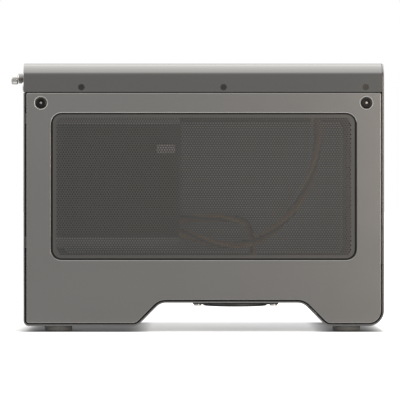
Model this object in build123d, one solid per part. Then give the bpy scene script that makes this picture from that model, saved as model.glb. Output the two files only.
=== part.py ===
from build123d import *
from math import radians, sqrt, tan
import os

# External graphics card enclosure, in millimetres, +Z up.
# The front faces +X and the right-hand side faces -Y.
# Places along X are measured from the middle of the body.

# Body and its folded wrap
BODY_LENGTH = 338.0
BODY_WIDTH = 157.0
BODY_HEIGHT = 252.0
WRAP_SHEET = 1.6
FOOT_HEIGHT = 5.5
FOOT_RADIUS = 13.0
FOOT_REAR_SETBACK = 31.5
FOOT_FRONT_SETBACK = 34.0
FOOT_INSET = 21.5
ARCH_REAR_SETBACK = 106.8
ARCH_FRONT_SETBACK = 54.3
ARCH_HEIGHT = 21.7
ARCH_ANGLE = 45.0
REAR_BEND = 5.0
FRONT_BEND = 14.4
TOE_BEND = 11.0
CROWN_BEND = 12.0
FRONT_EDGE = 1.4

# Hood, its runners and its screws
HOOD_DEPTH = 27.2
HOOD_SHEET = 1.2
HOOD_BEND = 12.0
HOOD_SEAM = 0.9
HOOD_END_GAP = 0.4
RUNNER_HEIGHT = 12.0
RUNNER_SHEET = 1.5
RUNNER_LEG = 13.8
HOOD_SCREW_SETBACK = 17.2
HOOD_SCREW_PITCH = 133.2
HOOD_SCREW_COUNT = 3
HOOD_SCREW_RISE = 4.4
HOOD_SCREW_HEAD = 6.0
HOOD_SCREW_SHANK = 3.0

# Thumbscrews that hold the hood
THUMB_INSET = 15.5
THUMB_RISE = 13.4
THUMB_HEAD = 11.0
THUMB_HEAD_LENGTH = 5.8
THUMB_NECK = 1.0
THUMB_SHANK = 4.0
THUMB_REACH = 8.0
FERRULE_RADIUS = 4.6
FERRULE_LENGTH = 5.2
FERRULE_BASE = 2.1

# Side panels, windows and perforated sheets
PANEL_SHEET = 2.0
PANEL_GAP = 1.1
PANEL_EDGE = 0.8
PANEL_CORNER = 1.6
LIP_DEPTH = 4.0
LIP_TOP = 58.0
PANEL_SCREW_SETBACK = 16.5
PANEL_SCREW_DROP = 9.3
PANEL_SCREW_HEAD = 11.0
PANEL_SCREW_SHANK = 5.0
DIMPLE_WIDTH = 13.4
DIMPLE_DEPTH = 1.2
DIMPLE_EDGE = 1.0
WINDOW_MARGIN = 26.0
WINDOW_HEIGHT = 138.0
WINDOW_DROP = 18.6
WINDOW_BEND = 10.0
FRONT_WINDOW_WIDTH = 120.0
MESH_SHEET = 0.8
MESH_GAP = 1.0
MESH_RECESS = 0.6
MESH_FLANGE = 4.0
MESH_MARGIN = 5.0
MESH_PITCH = 18.6
MESH_HOLE = 14.0

# Top frame with the two rails
RAIL_SHEET = 1.5
RAIL_FLANGE = 14.5
TAB_WIDTH = 20.0
TAB_EAR = 7.8
TAB_RISE = 21.2
CLIP_LENGTH = 10.0

# Power supply
PSU_LENGTH = 145.0
PSU_THICKNESS = 64.0
PSU_HEIGHT = 126.0
PSU_HEADROOM = 4.9
PSU_SHEET = 0.8
PSU_LAP = 10.0
PSU_SCREW_INSET = 7.0
PSU_SCREW = 2.0
PSU_SCREW_HEAD = 7.0
PSU_FAN = 92.0
PSU_FAN_DEPTH = 15.0
PSU_FAN_HOLES = 82.5
INLET_WIDTH = 31.0
INLET_HEIGHT = 25.0
INLET_DEPTH = 20.0
INLET_RISE = 28.0
SWITCH_WIDTH = 15.0
SWITCH_HEIGHT = 21.0
SWITCH_TILT = 8.0

# Main board, its tray and what it carries
TRAY_SHEET = 1.2
TRAY_RISE = 7.2
TRAY_LENGTH = 250.0
TRAY_WIDTH = 60.0
TRAY_GAP = 0.5
STANDOFF = 6.0
BOARD_SHEET = 1.6
BOARD_LENGTH = 240.0
BOARD_WIDTH = 57.0
SLOT_LENGTH = 89.0
SLOT_WIDTH = 7.5
SLOT_HEIGHT = 11.2
SLOT_SETBACK = 55.0
SLOT_PITCH = 20.32
SLOT_COVER_WIDTH = 18.4
SLOT_COVER_HEIGHT = 118.0
SLOT_COVER_SHEET = 0.9
SLOT_COUNT = 2
HEADER_SETBACK = 34.6
HEADER_SIZE = (18.0, 9.0, 11.0)
HEADER_WALL = 1.2
PLUG_HEIGHT = 14.0
PORT_WIDTH = 9.0
PORT_HEIGHT = 3.2

# Fans
FRONT_FAN = 120.0
FRONT_FAN_DEPTH = 25.0
FRONT_FAN_HOLES = 105.0
BOTTOM_FAN = 80.0
BOTTOM_FAN_DEPTH = 25.0
BOTTOM_FAN_HOLES = 71.5
BOTTOM_FAN_OFFSET = 3.75
FAN_WALL = 2.0
FAN_SCREW = 4.0
GUARD_WIRE = 1.6
GUARD_DROP = 4.4
GUARD_RINGS = (10.0, 16.5, 23.0, 29.5, 36.0)

# Cables and power light
LIGHT_RISE = 22.0
CABLE_RADIUS = 4.0
CABLE_INSET = 9.7
CLIP_SETBACK = 95.4
CABLE_SETBACK = 60.0

# Clearances
FIT = 0.05
SCREW_FIT = 0.25
RUN_FIT = 0.3
SEAT_FIT = 0.15
TIP_FIT = 1.0

# Places that follow from the sizes above
REAR_X = -BODY_LENGTH / 2
FRONT_X = BODY_LENGTH / 2
ARCH_REAR_X = REAR_X + ARCH_REAR_SETBACK
ARCH_FRONT_X = FRONT_X - ARCH_FRONT_SETBACK
FOOT_REAR_X = REAR_X + FOOT_REAR_SETBACK
FOOT_FRONT_X = FRONT_X - FOOT_FRONT_SETBACK
PANEL_SCREW_X = FRONT_X - PANEL_SCREW_SETBACK
HOOD_SCREW_X = [FRONT_X - HOOD_SCREW_SETBACK - HOOD_SCREW_PITCH * i for i in range(HOOD_SCREW_COUNT)]
REAR_IN = REAR_X + WRAP_SHEET
FRONT_IN = FRONT_X - WRAP_SHEET
SIDE_Y = BODY_WIDTH / 2
PANEL_IN = SIDE_Y - PANEL_SHEET
HOOD_BOTTOM = BODY_HEIGHT - HOOD_DEPTH
HOOD_IN = SIDE_Y - HOOD_SHEET
HOOD_FRONT = FRONT_IN - HOOD_END_GAP
PANEL_TOP = HOOD_BOTTOM - HOOD_SEAM
CROWN_TOP = FOOT_HEIGHT + ARCH_HEIGHT + WRAP_SHEET
WINDOW_LENGTH = BODY_LENGTH - 2 * WINDOW_MARGIN
WINDOW_TOP = PANEL_TOP - WINDOW_DROP
WINDOW_MID_Z = WINDOW_TOP - WINDOW_HEIGHT / 2
RAIL_BOTTOM = WINDOW_TOP + MESH_FLANGE + 0.6
RAIL_IN = PANEL_IN - RAIL_FLANGE
RUNNER_BOTTOM = PANEL_TOP + RUN_FIT
THUMB_SIDE = SIDE_Y - THUMB_INSET
THUMB_Z = HOOD_BOTTOM + THUMB_RISE
TAB_TOP = HOOD_BOTTOM + TAB_RISE
THUMB_LENGTH = THUMB_HEAD_LENGTH + THUMB_NECK + FERRULE_LENGTH
MESH_IN = PANEL_IN - MESH_SHEET
PSU_SIDE = -(MESH_IN - 0.5)
PSU_FRONT = REAR_IN + PSU_LENGTH
PSU_TOP = RAIL_BOTTOM - PSU_HEADROOM
PSU_BOTTOM = PSU_TOP - PSU_HEIGHT
PSU_INNER = PSU_SIDE + PSU_THICKNESS
PSU_MID_Y = PSU_SIDE + PSU_THICKNESS / 2
INLET_Z = PSU_BOTTOM + INLET_RISE
TRAY_TOP = CROWN_TOP + TRAY_RISE
BOARD_BOTTOM = TRAY_TOP + STANDOFF
BOARD_TOP = BOARD_BOTTOM + BOARD_SHEET
TRAY_SIDE = PANEL_IN - LIP_DEPTH - TRAY_GAP - TRAY_WIDTH
BOARD_SIDE = TRAY_SIDE + (TRAY_WIDTH - BOARD_WIDTH) / 2
BOARD_REAR = REAR_IN + 1.0
SLOT_Y = [TRAY_SIDE + 21.0 + SLOT_PITCH * i for i in range(SLOT_COUNT)]
CARD_Y = SLOT_Y[0] - 6.0
COVER_BOTTOM = BOARD_TOP + 2.0
COVER_TOP = COVER_BOTTOM + SLOT_COVER_HEIGHT
PORT_Y = BOARD_SIDE + PORT_WIDTH / 2 + 0.5
BOTTOM_FAN_X = (ARCH_REAR_X + ARCH_FRONT_X) / 2 + BOTTOM_FAN_OFFSET
BOTTOM_FAN_Y = TRAY_SIDE - 3.0 - BOTTOM_FAN / 2
HEADER_X = BOARD_REAR + BOARD_LENGTH - HEADER_SETBACK
HEADER_Y = BOARD_SIDE + 2.0 + HEADER_SIZE[1] / 2
BRACKET_BACK = FRONT_IN - MESH_SHEET - TRAY_SHEET
LIGHT_Z = FOOT_HEIGHT + FRONT_BEND + LIGHT_RISE
CABLE_SIDE = -(MESH_IN - CABLE_INSET)
CLIP_X = FRONT_IN - CLIP_SETBACK
CLIP_Z = PANEL_TOP - RAIL_SHEET - CABLE_RADIUS - 1.0


def block(low, high):
    """A box between two opposite corners."""
    size = [b - a for a, b in zip(low, high)]
    return Pos(*low) * Box(*size, align=(Align.MIN, Align.MIN, Align.MIN))


def across(face, y_from, y_to):
    """A side profile, drawn in X and Z, made solid between two places along Y."""
    return extrude(Plane.XZ.offset(-y_from) * face, y_to - y_from, dir=(0, 1, 0))


def along(face, x_from, x_to):
    """A cross section, drawn in Y and Z, made solid between two places along X."""
    return extrude(Plane.YZ.offset(x_from) * face, x_to - x_from)


def rod_x(radius, x_from, x_to, y, z):
    """A round bar along X."""
    return along(Pos(y, z) * Circle(radius), x_from, x_to)


def rod_y(radius, x, y_from, y_to, z):
    """A round bar along Y."""
    return across(Pos(x, z) * Circle(radius), y_from, y_to)


def rod_z(radius, x, y, z_from, z_to):
    """A round bar along Z."""
    return extrude(Pos(x, y, z_from) * Circle(radius), z_to - z_from)


def staggered(width, height, pitch, hole):
    """Centres of a staggered field of holes that fits in a width by a height."""
    rise = pitch * sqrt(3) / 2
    rows = int((height - hole) / rise) + 1
    columns = int((width - hole) / pitch) + 1
    places = []
    for row in range(rows):
        odd = row % 2
        for column in range(columns - odd):
            across_by = (column + odd / 2 - (columns - 1) / 2) * pitch
            places.append((across_by, (row - (rows - 1) / 2) * rise))
    return places


def mirrored(shape):
    """The same piece on the other side of the body."""
    return mirror(shape, Plane.XZ)


def body_corners(inset):
    """Corners and bend radii of the side profile, moved inwards by an inset."""
    shift = inset * tan(radians(ARCH_ANGLE / 2))
    run = ARCH_HEIGHT / tan(radians(ARCH_ANGLE))
    floor = FOOT_HEIGHT + inset
    crown = floor + ARCH_HEIGHT
    return [
        (REAR_X + inset, floor, REAR_BEND - inset),
        (ARCH_REAR_X - shift, floor, TOE_BEND - inset),
        (ARCH_REAR_X + run - shift, crown, CROWN_BEND + inset),
        (ARCH_FRONT_X - run + shift, crown, CROWN_BEND + inset),
        (ARCH_FRONT_X + shift, floor, TOE_BEND - inset),
        (FRONT_X - inset, floor, FRONT_BEND - inset),
    ]


def wrap_line(inset):
    """The open line of the wrap, from the top of the rear wall to the top of the front wall."""
    corners = body_corners(inset)
    points = [(REAR_X + inset, PANEL_TOP)]
    points += [(x, z) for x, z, bend in corners]
    points.append((FRONT_X - inset, BODY_HEIGHT))
    return FilletPolyline(*points, radius=[bend for x, z, bend in corners])


def panel_face(inset):
    """The closed outline of a side panel, moved inwards by an inset."""
    edge = WRAP_SHEET + PANEL_GAP + inset
    corners = body_corners(edge)
    top = PANEL_TOP - inset
    corners.append((FRONT_X - edge, top, PANEL_CORNER))
    corners.append((REAR_X + edge, top, PANEL_CORNER))
    points = [(x, z) for x, z, bend in corners]
    radii = [max(bend, 0.3) for x, z, bend in corners]
    return make_face(FilletPolyline(*points, radius=radii, close=True).edges())


def hood_section(inset):
    """The hood's cross section with its rolled top edges, open ended below."""
    width = BODY_WIDTH - 2 * inset
    height = HOOD_DEPTH - inset
    face = Pos(0, HOOD_BOTTOM + height / 2) * Rectangle(width, height)
    rolled = face.vertices().group_by(Axis.Y)[-1]
    return fillet(rolled, HOOD_BEND - inset)


def perforated_tray(length, height, radius, depth):
    """A pressed sheet with a raised perforated field, drawn flat with its field facing up."""
    field = RectangleRounded(length - 2 * MESH_GAP, height - 2 * MESH_GAP, radius - MESH_GAP)
    hollow = offset(field, -MESH_SHEET)
    rim = RectangleRounded(length + 2 * MESH_FLANGE, height + 2 * MESH_FLANGE, radius + MESH_FLANGE)
    tray = extrude(rim, MESH_SHEET)
    tray += extrude(field, depth)
    tray -= extrude(hollow, depth - MESH_SHEET)
    room = 2 * (MESH_GAP + MESH_MARGIN)
    places = staggered(length - room, height - room, MESH_PITCH, MESH_HOLE)
    holes = Locations(*places) * RegularPolygon(MESH_HOLE / 2, 6)
    return tray - extrude(Sketch() + holes, depth)


def fan_frame(size, depth, hole_pitch):
    """A square fan frame on its back, with the motor plate, four struts and the bearing pin."""
    bore = size / 2 - FAN_WALL
    frame = extrude(RectangleRounded(size, size, 4), depth)
    frame -= extrude(Circle(bore), depth)
    for x in (-1, 1):
        for y in (-1, 1):
            frame -= rod_z(FAN_SCREW / 2 + SCREW_FIT, x * hole_pitch / 2, y * hole_pitch / 2, 0, depth)
    frame += extrude(Circle(size * 0.17), 2.5)
    for turn in range(4):
        strut = block((0, -2, 0), (bore + 0.5, 2, 2.5))
        frame += Rot(0, 0, 90 * turn) * strut
    return frame + extrude(Circle(1.5), depth - 4)


def fan_rotor(size, depth):
    """A fan wheel with curved, pitched blades, placed as in its frame."""
    bore = size / 2 - FAN_WALL
    hub = size * 0.17
    low = 2.5 + RUN_FIT
    high = depth - 1.0
    wheel = extrude(Pos(0, 0, low) * Circle(hub), high - low)
    chord = (high - low) * 1.25
    upper = ThreePointArc((-chord / 2, 0), (0, chord * 0.14), (chord / 2, 0))
    lower = ThreePointArc((-chord / 2, 0), (0, chord * 0.05), (chord / 2, 0))
    section = make_face(upper.edges() + lower.edges())
    blade = extrude(Plane.YZ * (Rot(0, 0, 38) * section), bore + 5)
    blade = Pos(0, 0, (low + high) / 2) * blade
    room = extrude(Pos(0, 0, low) * Circle(bore - TIP_FIT), high - low)
    blade = (blade & room) - extrude(Circle(hub - 1.0), depth)
    for turn in range(7):
        wheel += Rot(0, 0, 360 / 7 * turn) * blade
    return wheel - extrude(Circle(1.5 + RUN_FIT), depth - 4 + RUN_FIT)


def stamped_rings(radius, bar):
    """A stamped fan grille: three rings and four spokes, drawn as one face."""
    face = Sketch()
    for share in (0.25, 0.55, 0.85):
        face += Circle(radius * share + bar / 2) - Circle(radius * share - bar / 2)
    face += Rectangle(2 * radius + 1, bar)
    return face + Rectangle(bar, 2 * radius + 1)


def cap_screw(head, head_height, shank, length, socket):
    """A low button head on the origin, its shank running down -Z, with a hex socket."""
    screw = extrude(Circle(head / 2), head_height)
    screw = chamfer(screw.edges().group_by(Axis.Z)[-1], head_height * 0.35)
    screw -= extrude(Pos(0, 0, head_height * 0.3) * RegularPolygon(socket / 2, 6), head_height)
    return screw + extrude(Circle(shank / 2), -length)


# Wrap: one folded sheet that makes the rear wall, the arched bottom and the front wall
def chassis_wrap():
    outer = wrap_line(0)
    inner = wrap_line(WRAP_SHEET)
    ends = [Line(outer @ 0, inner @ 0), Line(outer @ 1, inner @ 1)]
    edges = outer.edges() + inner.edges()
    for end in ends:
        edges += end.edges()
    wrap = across(make_face(edges), -SIDE_Y, SIDE_Y)
    below = block((REAR_X - 1, -SIDE_Y, 0), (FRONT_X + 1, SIDE_Y, HOOD_BOTTOM))
    wrap &= below + along(hood_section(0), REAR_X - 1, FRONT_X + 1)
    front = wrap.faces().sort_by(Axis.X)[-1]
    upper = [e for e in front.edges() if e.center().Z > FOOT_HEIGHT + FRONT_BEND + 5]
    wrap = fillet(upper, FRONT_EDGE)
    window = RectangleRounded(FRONT_WINDOW_WIDTH, WINDOW_HEIGHT, WINDOW_BEND)
    wrap -= along(Pos(0, WINDOW_MID_Z) * window, FRONT_IN - 1, FRONT_X + 1)
    wrap -= rod_x(2.0 + FIT, FRONT_IN - 1, FRONT_X + 1, 0, LIGHT_Z)
    wrap -= rear_openings()
    wrap -= rod_z(BOTTOM_FAN / 2 - FAN_WALL, BOTTOM_FAN_X, BOTTOM_FAN_Y, FOOT_HEIGHT, CROWN_TOP + 1)
    for x, y in fan_corners(BOTTOM_FAN_X, BOTTOM_FAN_Y, BOTTOM_FAN_HOLES):
        wrap -= rod_z(FAN_SCREW / 2 + SCREW_FIT, x, y, FOOT_HEIGHT, CROWN_TOP + 1)
    return wrap


def fan_corners(x, y, pitch):
    """The four screw places of a fan."""
    half = pitch / 2
    return [(x + i * half, y + j * half) for i in (-1, 1) for j in (-1, 1)]


def psu_screw_places():
    """The four screws that hold the power supply to the rear wall, as Y and Z."""
    low, high = PSU_BOTTOM + PSU_SCREW_INSET, PSU_TOP - PSU_SCREW_INSET
    near, far = PSU_SIDE + PSU_SCREW_INSET, PSU_INNER - PSU_SCREW_INSET
    return [(y, z) for y in (near, far) for z in (low, high)]


def psu_screw_seat(y, z):
    """A screw's place on the outside of the rear wall, facing out."""
    return Pos(REAR_X, y, z) * Rot(0, -90, 0)


def psu_screw_head(fit):
    """A countersunk head with its shank, flush with the rear wall."""
    top = Align.CENTER, Align.CENTER, Align.MAX
    head = Cone(PSU_SCREW + fit, PSU_SCREW_HEAD / 2 + fit, WRAP_SHEET, align=top)
    return head + Cylinder(PSU_SCREW + fit, WRAP_SHEET + PSU_SHEET + 4.0, align=top)


def rear_openings():
    """Everything that is cut through the rear wall."""
    start, end = REAR_X - 1, REAR_IN + 1
    width = PSU_THICKNESS - 10
    height = PSU_HEIGHT - 4 * PSU_SCREW_INSET
    view = Pos(PSU_MID_Y, PSU_BOTTOM + PSU_HEIGHT / 2) * RectangleRounded(width, height, 4)
    cut = along(view, start, end)
    for y, z in psu_screw_places():
        cut += psu_screw_seat(y, z) * psu_screw_head(FIT)
    slot_middle = COVER_BOTTOM + 5.0 + (SLOT_COVER_HEIGHT - 14.0) / 2
    for y in SLOT_Y:
        opening = RectangleRounded(SLOT_COVER_WIDTH - 4.4, SLOT_COVER_HEIGHT - 14.0, 2)
        cut += along(Pos(y, slot_middle) * opening, start, end)
    port = RectangleRounded(PORT_WIDTH + 2 * SCREW_FIT, PORT_HEIGHT + 2 * SCREW_FIT, 1.6)
    cut += along(Pos(PORT_Y, BOARD_TOP + PORT_HEIGHT / 2) * port, start, end)
    lock = RectangleRounded(7.0, 3.0, 1.2)
    cut += along(Pos(0, FOOT_HEIGHT + 16.0) * lock, start, end)
    vents = Sketch()
    for row in range(5):
        place = Pos((SLOT_Y[0] + SLOT_Y[-1]) / 2, COVER_TOP + 12.0 + 6.0 * row)
        vents += place * SlotOverall(42.0, 3.0)
    return cut + along(vents, start, end)


# Side panels: sheets with a window, a folded lip below and two screw dimples
def side_panel():
    outline = panel_face(0)
    panel = across(outline, -SIDE_Y, -PANEL_IN)
    window = Pos(0, WINDOW_MID_Z) * RectangleRounded(WINDOW_LENGTH, WINDOW_HEIGHT, WINDOW_BEND)
    panel -= across(window, -SIDE_Y - 1, -PANEL_IN + 1)
    outside = panel.faces().sort_by(Axis.Y)[0]
    panel = fillet(outside.edges(), PANEL_EDGE)
    seat = panel_face(SEAT_FIT - PANEL_GAP)
    lip = across(seat - panel_face(PANEL_SHEET), -PANEL_IN, -PANEL_IN + LIP_DEPTH)
    panel += lip & block((REAR_X, -SIDE_Y, 0), (FRONT_X, 0, LIP_TOP))
    top = Align.CENTER, Align.CENTER, Align.MAX
    floor = DIMPLE_WIDTH / 2 - DIMPLE_EDGE
    recess = Cylinder(floor, DIMPLE_DEPTH, align=top)
    recess += Cone(floor, DIMPLE_WIDTH / 2, DIMPLE_EDGE, align=top)
    recess += Cylinder(PANEL_SCREW_SHANK / 2 + SCREW_FIT, 3 * PANEL_SHEET)
    for place in panel_screw_places():
        panel -= place * recess
    return panel


def panel_screw_places():
    """The seats of the screws of the right-hand panel, each facing out of the panel."""
    z = PANEL_TOP - PANEL_SCREW_DROP
    return [Pos(x, -SIDE_Y, z) * Rot(90, 0, 0) for x in (-PANEL_SCREW_X, PANEL_SCREW_X)]


def panel_screws():
    screw = cap_screw(PANEL_SCREW_HEAD, DIMPLE_DEPTH + 0.4, PANEL_SCREW_SHANK, 7.0, 5.6)
    near = [place * Pos(0, 0, -DIMPLE_DEPTH) * screw for place in panel_screw_places()]
    return near + [mirrored(screw) for screw in near]


def side_mesh():
    depth = PANEL_SHEET - MESH_RECESS + MESH_SHEET
    tray = perforated_tray(WINDOW_LENGTH, WINDOW_HEIGHT, WINDOW_BEND, depth)
    return Pos(0, -MESH_IN, WINDOW_MID_Z) * Rot(90, 0, 0) * tray


def front_mesh():
    depth = WRAP_SHEET - MESH_RECESS + MESH_SHEET
    tray = perforated_tray(FRONT_WINDOW_WIDTH, WINDOW_HEIGHT, WINDOW_BEND, depth)
    place = Plane(origin=(FRONT_IN - MESH_SHEET, 0, WINDOW_MID_Z), x_dir=(0, 1, 0), z_dir=(1, 0, 0))
    return place * tray


# Hood: a rolled cover, open below and in front, that slides off to the rear
def hood():
    shell = along(hood_section(0), REAR_X, HOOD_FRONT)
    rear = shell.faces().sort_by(Axis.X)[0]
    shell = fillet([e for e in rear.edges() if e.center().Z > HOOD_BOTTOM + 1], 0.6)
    cavity = hood_section(HOOD_SHEET) + Pos(0, HOOD_BOTTOM) * Rectangle(2 * HOOD_IN, HOOD_DEPTH)
    shell -= along(cavity, REAR_X + HOOD_SHEET, HOOD_FRONT + 1)
    for side in (-1, 1):
        shell -= rod_x(THUMB_SHANK / 2 + RUN_FIT, REAR_X - 1, REAR_X + 3, side * THUMB_SIDE, THUMB_Z)
    sink = hood_screw_head(FIT)
    for place in hood_screw_places():
        shell -= place * sink
        shell -= mirrored(place * sink)
    return shell


def hood_screw_places():
    """The flush screws on the right-hand side of the hood, each facing out."""
    z = HOOD_BOTTOM + HOOD_SCREW_RISE
    return [Pos(x, -SIDE_Y, z) * Rot(90, 0, 0) for x in HOOD_SCREW_X]


def hood_screw_head(fit):
    """A countersunk head with its shank, flush with the hood's side."""
    top = Align.CENTER, Align.CENTER, Align.MAX
    head = Cone(HOOD_SCREW_SHANK / 2 + fit, HOOD_SCREW_HEAD / 2 + fit, HOOD_SHEET, align=top)
    return head + Cylinder(HOOD_SCREW_SHANK / 2 + fit, HOOD_SHEET + RUNNER_SHEET + 2, align=top)


def hood_screws():
    screw = hood_screw_head(0) - extrude(Pos(0, 0, -0.8) * RegularPolygon(1.2, 6), 2)
    near = [place * screw for place in hood_screw_places()]
    return near + [mirrored(screw) for screw in near]


def hood_runner():
    rear, front = REAR_X + HOOD_SHEET + 0.5, HOOD_FRONT - 1.0
    top = RUNNER_BOTTOM + RUNNER_HEIGHT
    low = RUNNER_BOTTOM + RUNNER_SHEET
    runner = block((rear, -HOOD_IN, RUNNER_BOTTOM), (front, -HOOD_IN + RUNNER_SHEET, top))
    runner += block((rear, -HOOD_IN, RUNNER_BOTTOM), (front, -HOOD_IN + RUNNER_LEG, low))
    for place in hood_screw_places():
        runner -= place * hood_screw_head(FIT)
    return runner


# Thumbscrews: knurled heads with a neck, a shank and a ferrule on the hood
def thumbscrew(side):
    y = side * THUMB_SIDE
    tail = REAR_X - THUMB_LENGTH
    head = along(Pos(y, THUMB_Z) * RegularPolygon(THUMB_HEAD / 2, 24), tail, tail + THUMB_HEAD_LENGTH)
    ends = head.edges().filter_by(GeomType.LINE).group_by(Axis.X)
    head = chamfer(ends[0] + ends[-1], 0.5)
    head -= block((tail, y - THUMB_HEAD, THUMB_Z - 0.6), (tail + 1.2, y + THUMB_HEAD, THUMB_Z + 0.6))
    neck = rod_x(3.0, tail + THUMB_HEAD_LENGTH, REAR_X - FERRULE_LENGTH - RUN_FIT, y, THUMB_Z)
    shank = rod_x(THUMB_SHANK / 2, tail + THUMB_HEAD_LENGTH, REAR_X + THUMB_REACH, y, THUMB_Z)
    return head + neck + shank


def ferrules():
    rings = []
    for side in (-1, 1):
        y = side * THUMB_SIDE
        ring = rod_x(FERRULE_RADIUS, REAR_X - FERRULE_LENGTH, REAR_X - FERRULE_BASE, y, THUMB_Z)
        ring += rod_x(FERRULE_RADIUS - 1.0, REAR_X - FERRULE_BASE, REAR_X, y, THUMB_Z)
        bore = rod_x(THUMB_SHANK / 2 + RUN_FIT, REAR_X - FERRULE_LENGTH, REAR_X, y, THUMB_Z)
        rings.append(ring - bore)
    return rings


# Top frame: two rails under the hood, a front plate and a rear plate with two screw tabs
def top_frame():
    rail = block((REAR_IN, -PANEL_IN, RAIL_BOTTOM), (FRONT_IN, -PANEL_IN + RAIL_SHEET, PANEL_TOP))
    rail += block((REAR_IN, -PANEL_IN, PANEL_TOP - RAIL_SHEET), (FRONT_IN, -RAIL_IN, PANEL_TOP))
    hook = block((FRONT_IN - 14, -RAIL_IN, PANEL_TOP - RAIL_SHEET),
                 (FRONT_IN, -RAIL_IN + RAIL_SHEET, RUNNER_BOTTOM + RUNNER_SHEET + RUN_FIT))
    over = RUNNER_BOTTOM + RUNNER_SHEET + RUN_FIT
    hook += block((FRONT_IN - 14, -RAIL_IN - 6, over), (FRONT_IN, -RAIL_IN + RAIL_SHEET, over + RAIL_SHEET))
    rail += hook
    for place in panel_screw_places():
        rail -= place * Cylinder(PANEL_SCREW_SHANK / 2 + FIT, 40)
    frame = rail + mirrored(rail)
    span = RAIL_IN - 0.5
    low = RAIL_BOTTOM + 2.0
    frame += block((FRONT_IN - RAIL_SHEET, -span - 1, low), (FRONT_IN, span + 1, PANEL_TOP))
    frame += block((REAR_IN, -span - 1, low), (REAR_IN + RAIL_SHEET, span + 1, PANEL_TOP))
    for side in (-1, 1):
        y = side * THUMB_SIDE
        middle = side * (span - TAB_WIDTH / 2)
        tab = block((REAR_IN, middle - TAB_WIDTH / 2, low),
                    (REAR_IN + RAIL_SHEET, middle + TAB_WIDTH / 2, TAB_TOP))
        tab += rod_x(TAB_EAR, REAR_IN, REAR_IN + RAIL_SHEET, y, THUMB_Z)
        tab += rod_x(5.0, REAR_IN, REAR_IN + RAIL_SHEET + 2.5, y, THUMB_Z)
        frame += tab - rod_x(THUMB_SHANK / 2 + FIT * 2, REAR_X, REAR_IN + 9, y, THUMB_Z)
    return frame


def feet():
    """The four rubber feet, by name."""
    found = {}
    for x, end in ((FOOT_REAR_X, "rear"), (FOOT_FRONT_X, "front")):
        for y, side in ((-SIDE_Y + FOOT_INSET, "right"), (SIDE_Y - FOOT_INSET, "left")):
            foot = rod_z(FOOT_RADIUS, x, y, 0, FOOT_HEIGHT)
            found[f"foot_{end}_{side}"] = chamfer(foot.edges().group_by(Axis.Z)[0], 0.9)
    return found


# Power supply: a case, a cover lapped over it, a board, a fan and the mains fittings
def psu_case():
    low, high = PSU_BOTTOM + PSU_SHEET, PSU_TOP - PSU_SHEET
    side, inner = PSU_SIDE + PSU_SHEET, PSU_INNER - PSU_SHEET
    case = block((REAR_IN, side, low), (PSU_FRONT, inner, high))
    room_rear, room_front = REAR_IN + PSU_SHEET, PSU_FRONT - PSU_SHEET
    case -= block((room_rear, side + PSU_SHEET, low - 1), (room_front, inner + 1, high + 1))
    start, end = REAR_IN - 1, REAR_IN + PSU_SHEET + 1
    case -= along(inlet_place() * Rectangle(INLET_WIDTH - 4, INLET_HEIGHT - 4), start, end)
    case -= along(switch_place() * Rectangle(SWITCH_WIDTH - 2, SWITCH_HEIGHT - 2), start, end)
    for y, z in psu_screw_places():
        case -= rod_x(PSU_SCREW + FIT, start, end, y, z)
    width = PSU_THICKNESS - 16
    height = PSU_HEIGHT - 4 * PSU_SCREW_INSET - INLET_HEIGHT - 14
    places = staggered(width, height, 8.0, 7.0)
    middle = PSU_TOP - 2 * PSU_SCREW_INSET - 4 - height / 2
    grille = Pos(PSU_MID_Y, middle) * (Sketch() + Locations(*places) * RegularPolygon(3.4, 6))
    case -= along(grille, start, end)
    for y, z in psu_lead_places():
        case -= rod_x(CABLE_RADIUS + SCREW_FIT, PSU_FRONT - 3, PSU_FRONT + 1, y, z)
    return case


def inlet_place():
    return Pos(PSU_MID_Y - 9.0, INLET_Z)


def switch_place():
    return Pos(PSU_MID_Y + 17.0, INLET_Z)


def psu_lead_places():
    """Where the two cables leave the front of the power supply, as Y and Z."""
    return [(CABLE_SIDE, PSU_BOTTOM + 15.0), (PSU_INNER - 15.0, PSU_BOTTOM + 26.0)]


def psu_cover():
    side, inner = PSU_SIDE, PSU_INNER
    outer = Pos((side + inner) / 2, PSU_BOTTOM + PSU_HEIGHT / 2) * Rectangle(PSU_THICKNESS, PSU_HEIGHT)
    room = Rectangle(PSU_THICKNESS - 2 * PSU_SHEET, PSU_HEIGHT - 2 * PSU_SHEET)
    gap = Pos(side, PSU_BOTTOM + PSU_HEIGHT / 2) * Rectangle(4 * PSU_SHEET, PSU_HEIGHT - 2 * PSU_LAP)
    section = outer - Pos((side + inner) / 2, PSU_BOTTOM + PSU_HEIGHT / 2) * room - gap
    cover = along(section, REAR_IN, PSU_FRONT)
    hole = PSU_FAN / 2 - FAN_WALL - 1.0
    grille = Circle(hole) - stamped_rings(hole, 3.0)
    fan_x, fan_z = psu_fan_middle()
    cover -= across(Pos(fan_x, fan_z) * grille, inner - 2 * PSU_SHEET, inner + 1)
    return cover


def psu_fan_middle():
    """The fan's middle on the power supply, as X and Z."""
    return (REAR_IN + PSU_FRONT) / 2 + 8.0, PSU_BOTTOM + PSU_HEIGHT / 2


def psu_fan_place():
    """The fan sits on its face against the inside of the cover, blowing inwards."""
    fan_x, fan_z = psu_fan_middle()
    return Pos(fan_x, PSU_INNER - PSU_SHEET - PSU_FAN_DEPTH, fan_z) * Rot(-90, 0, 0)


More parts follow.
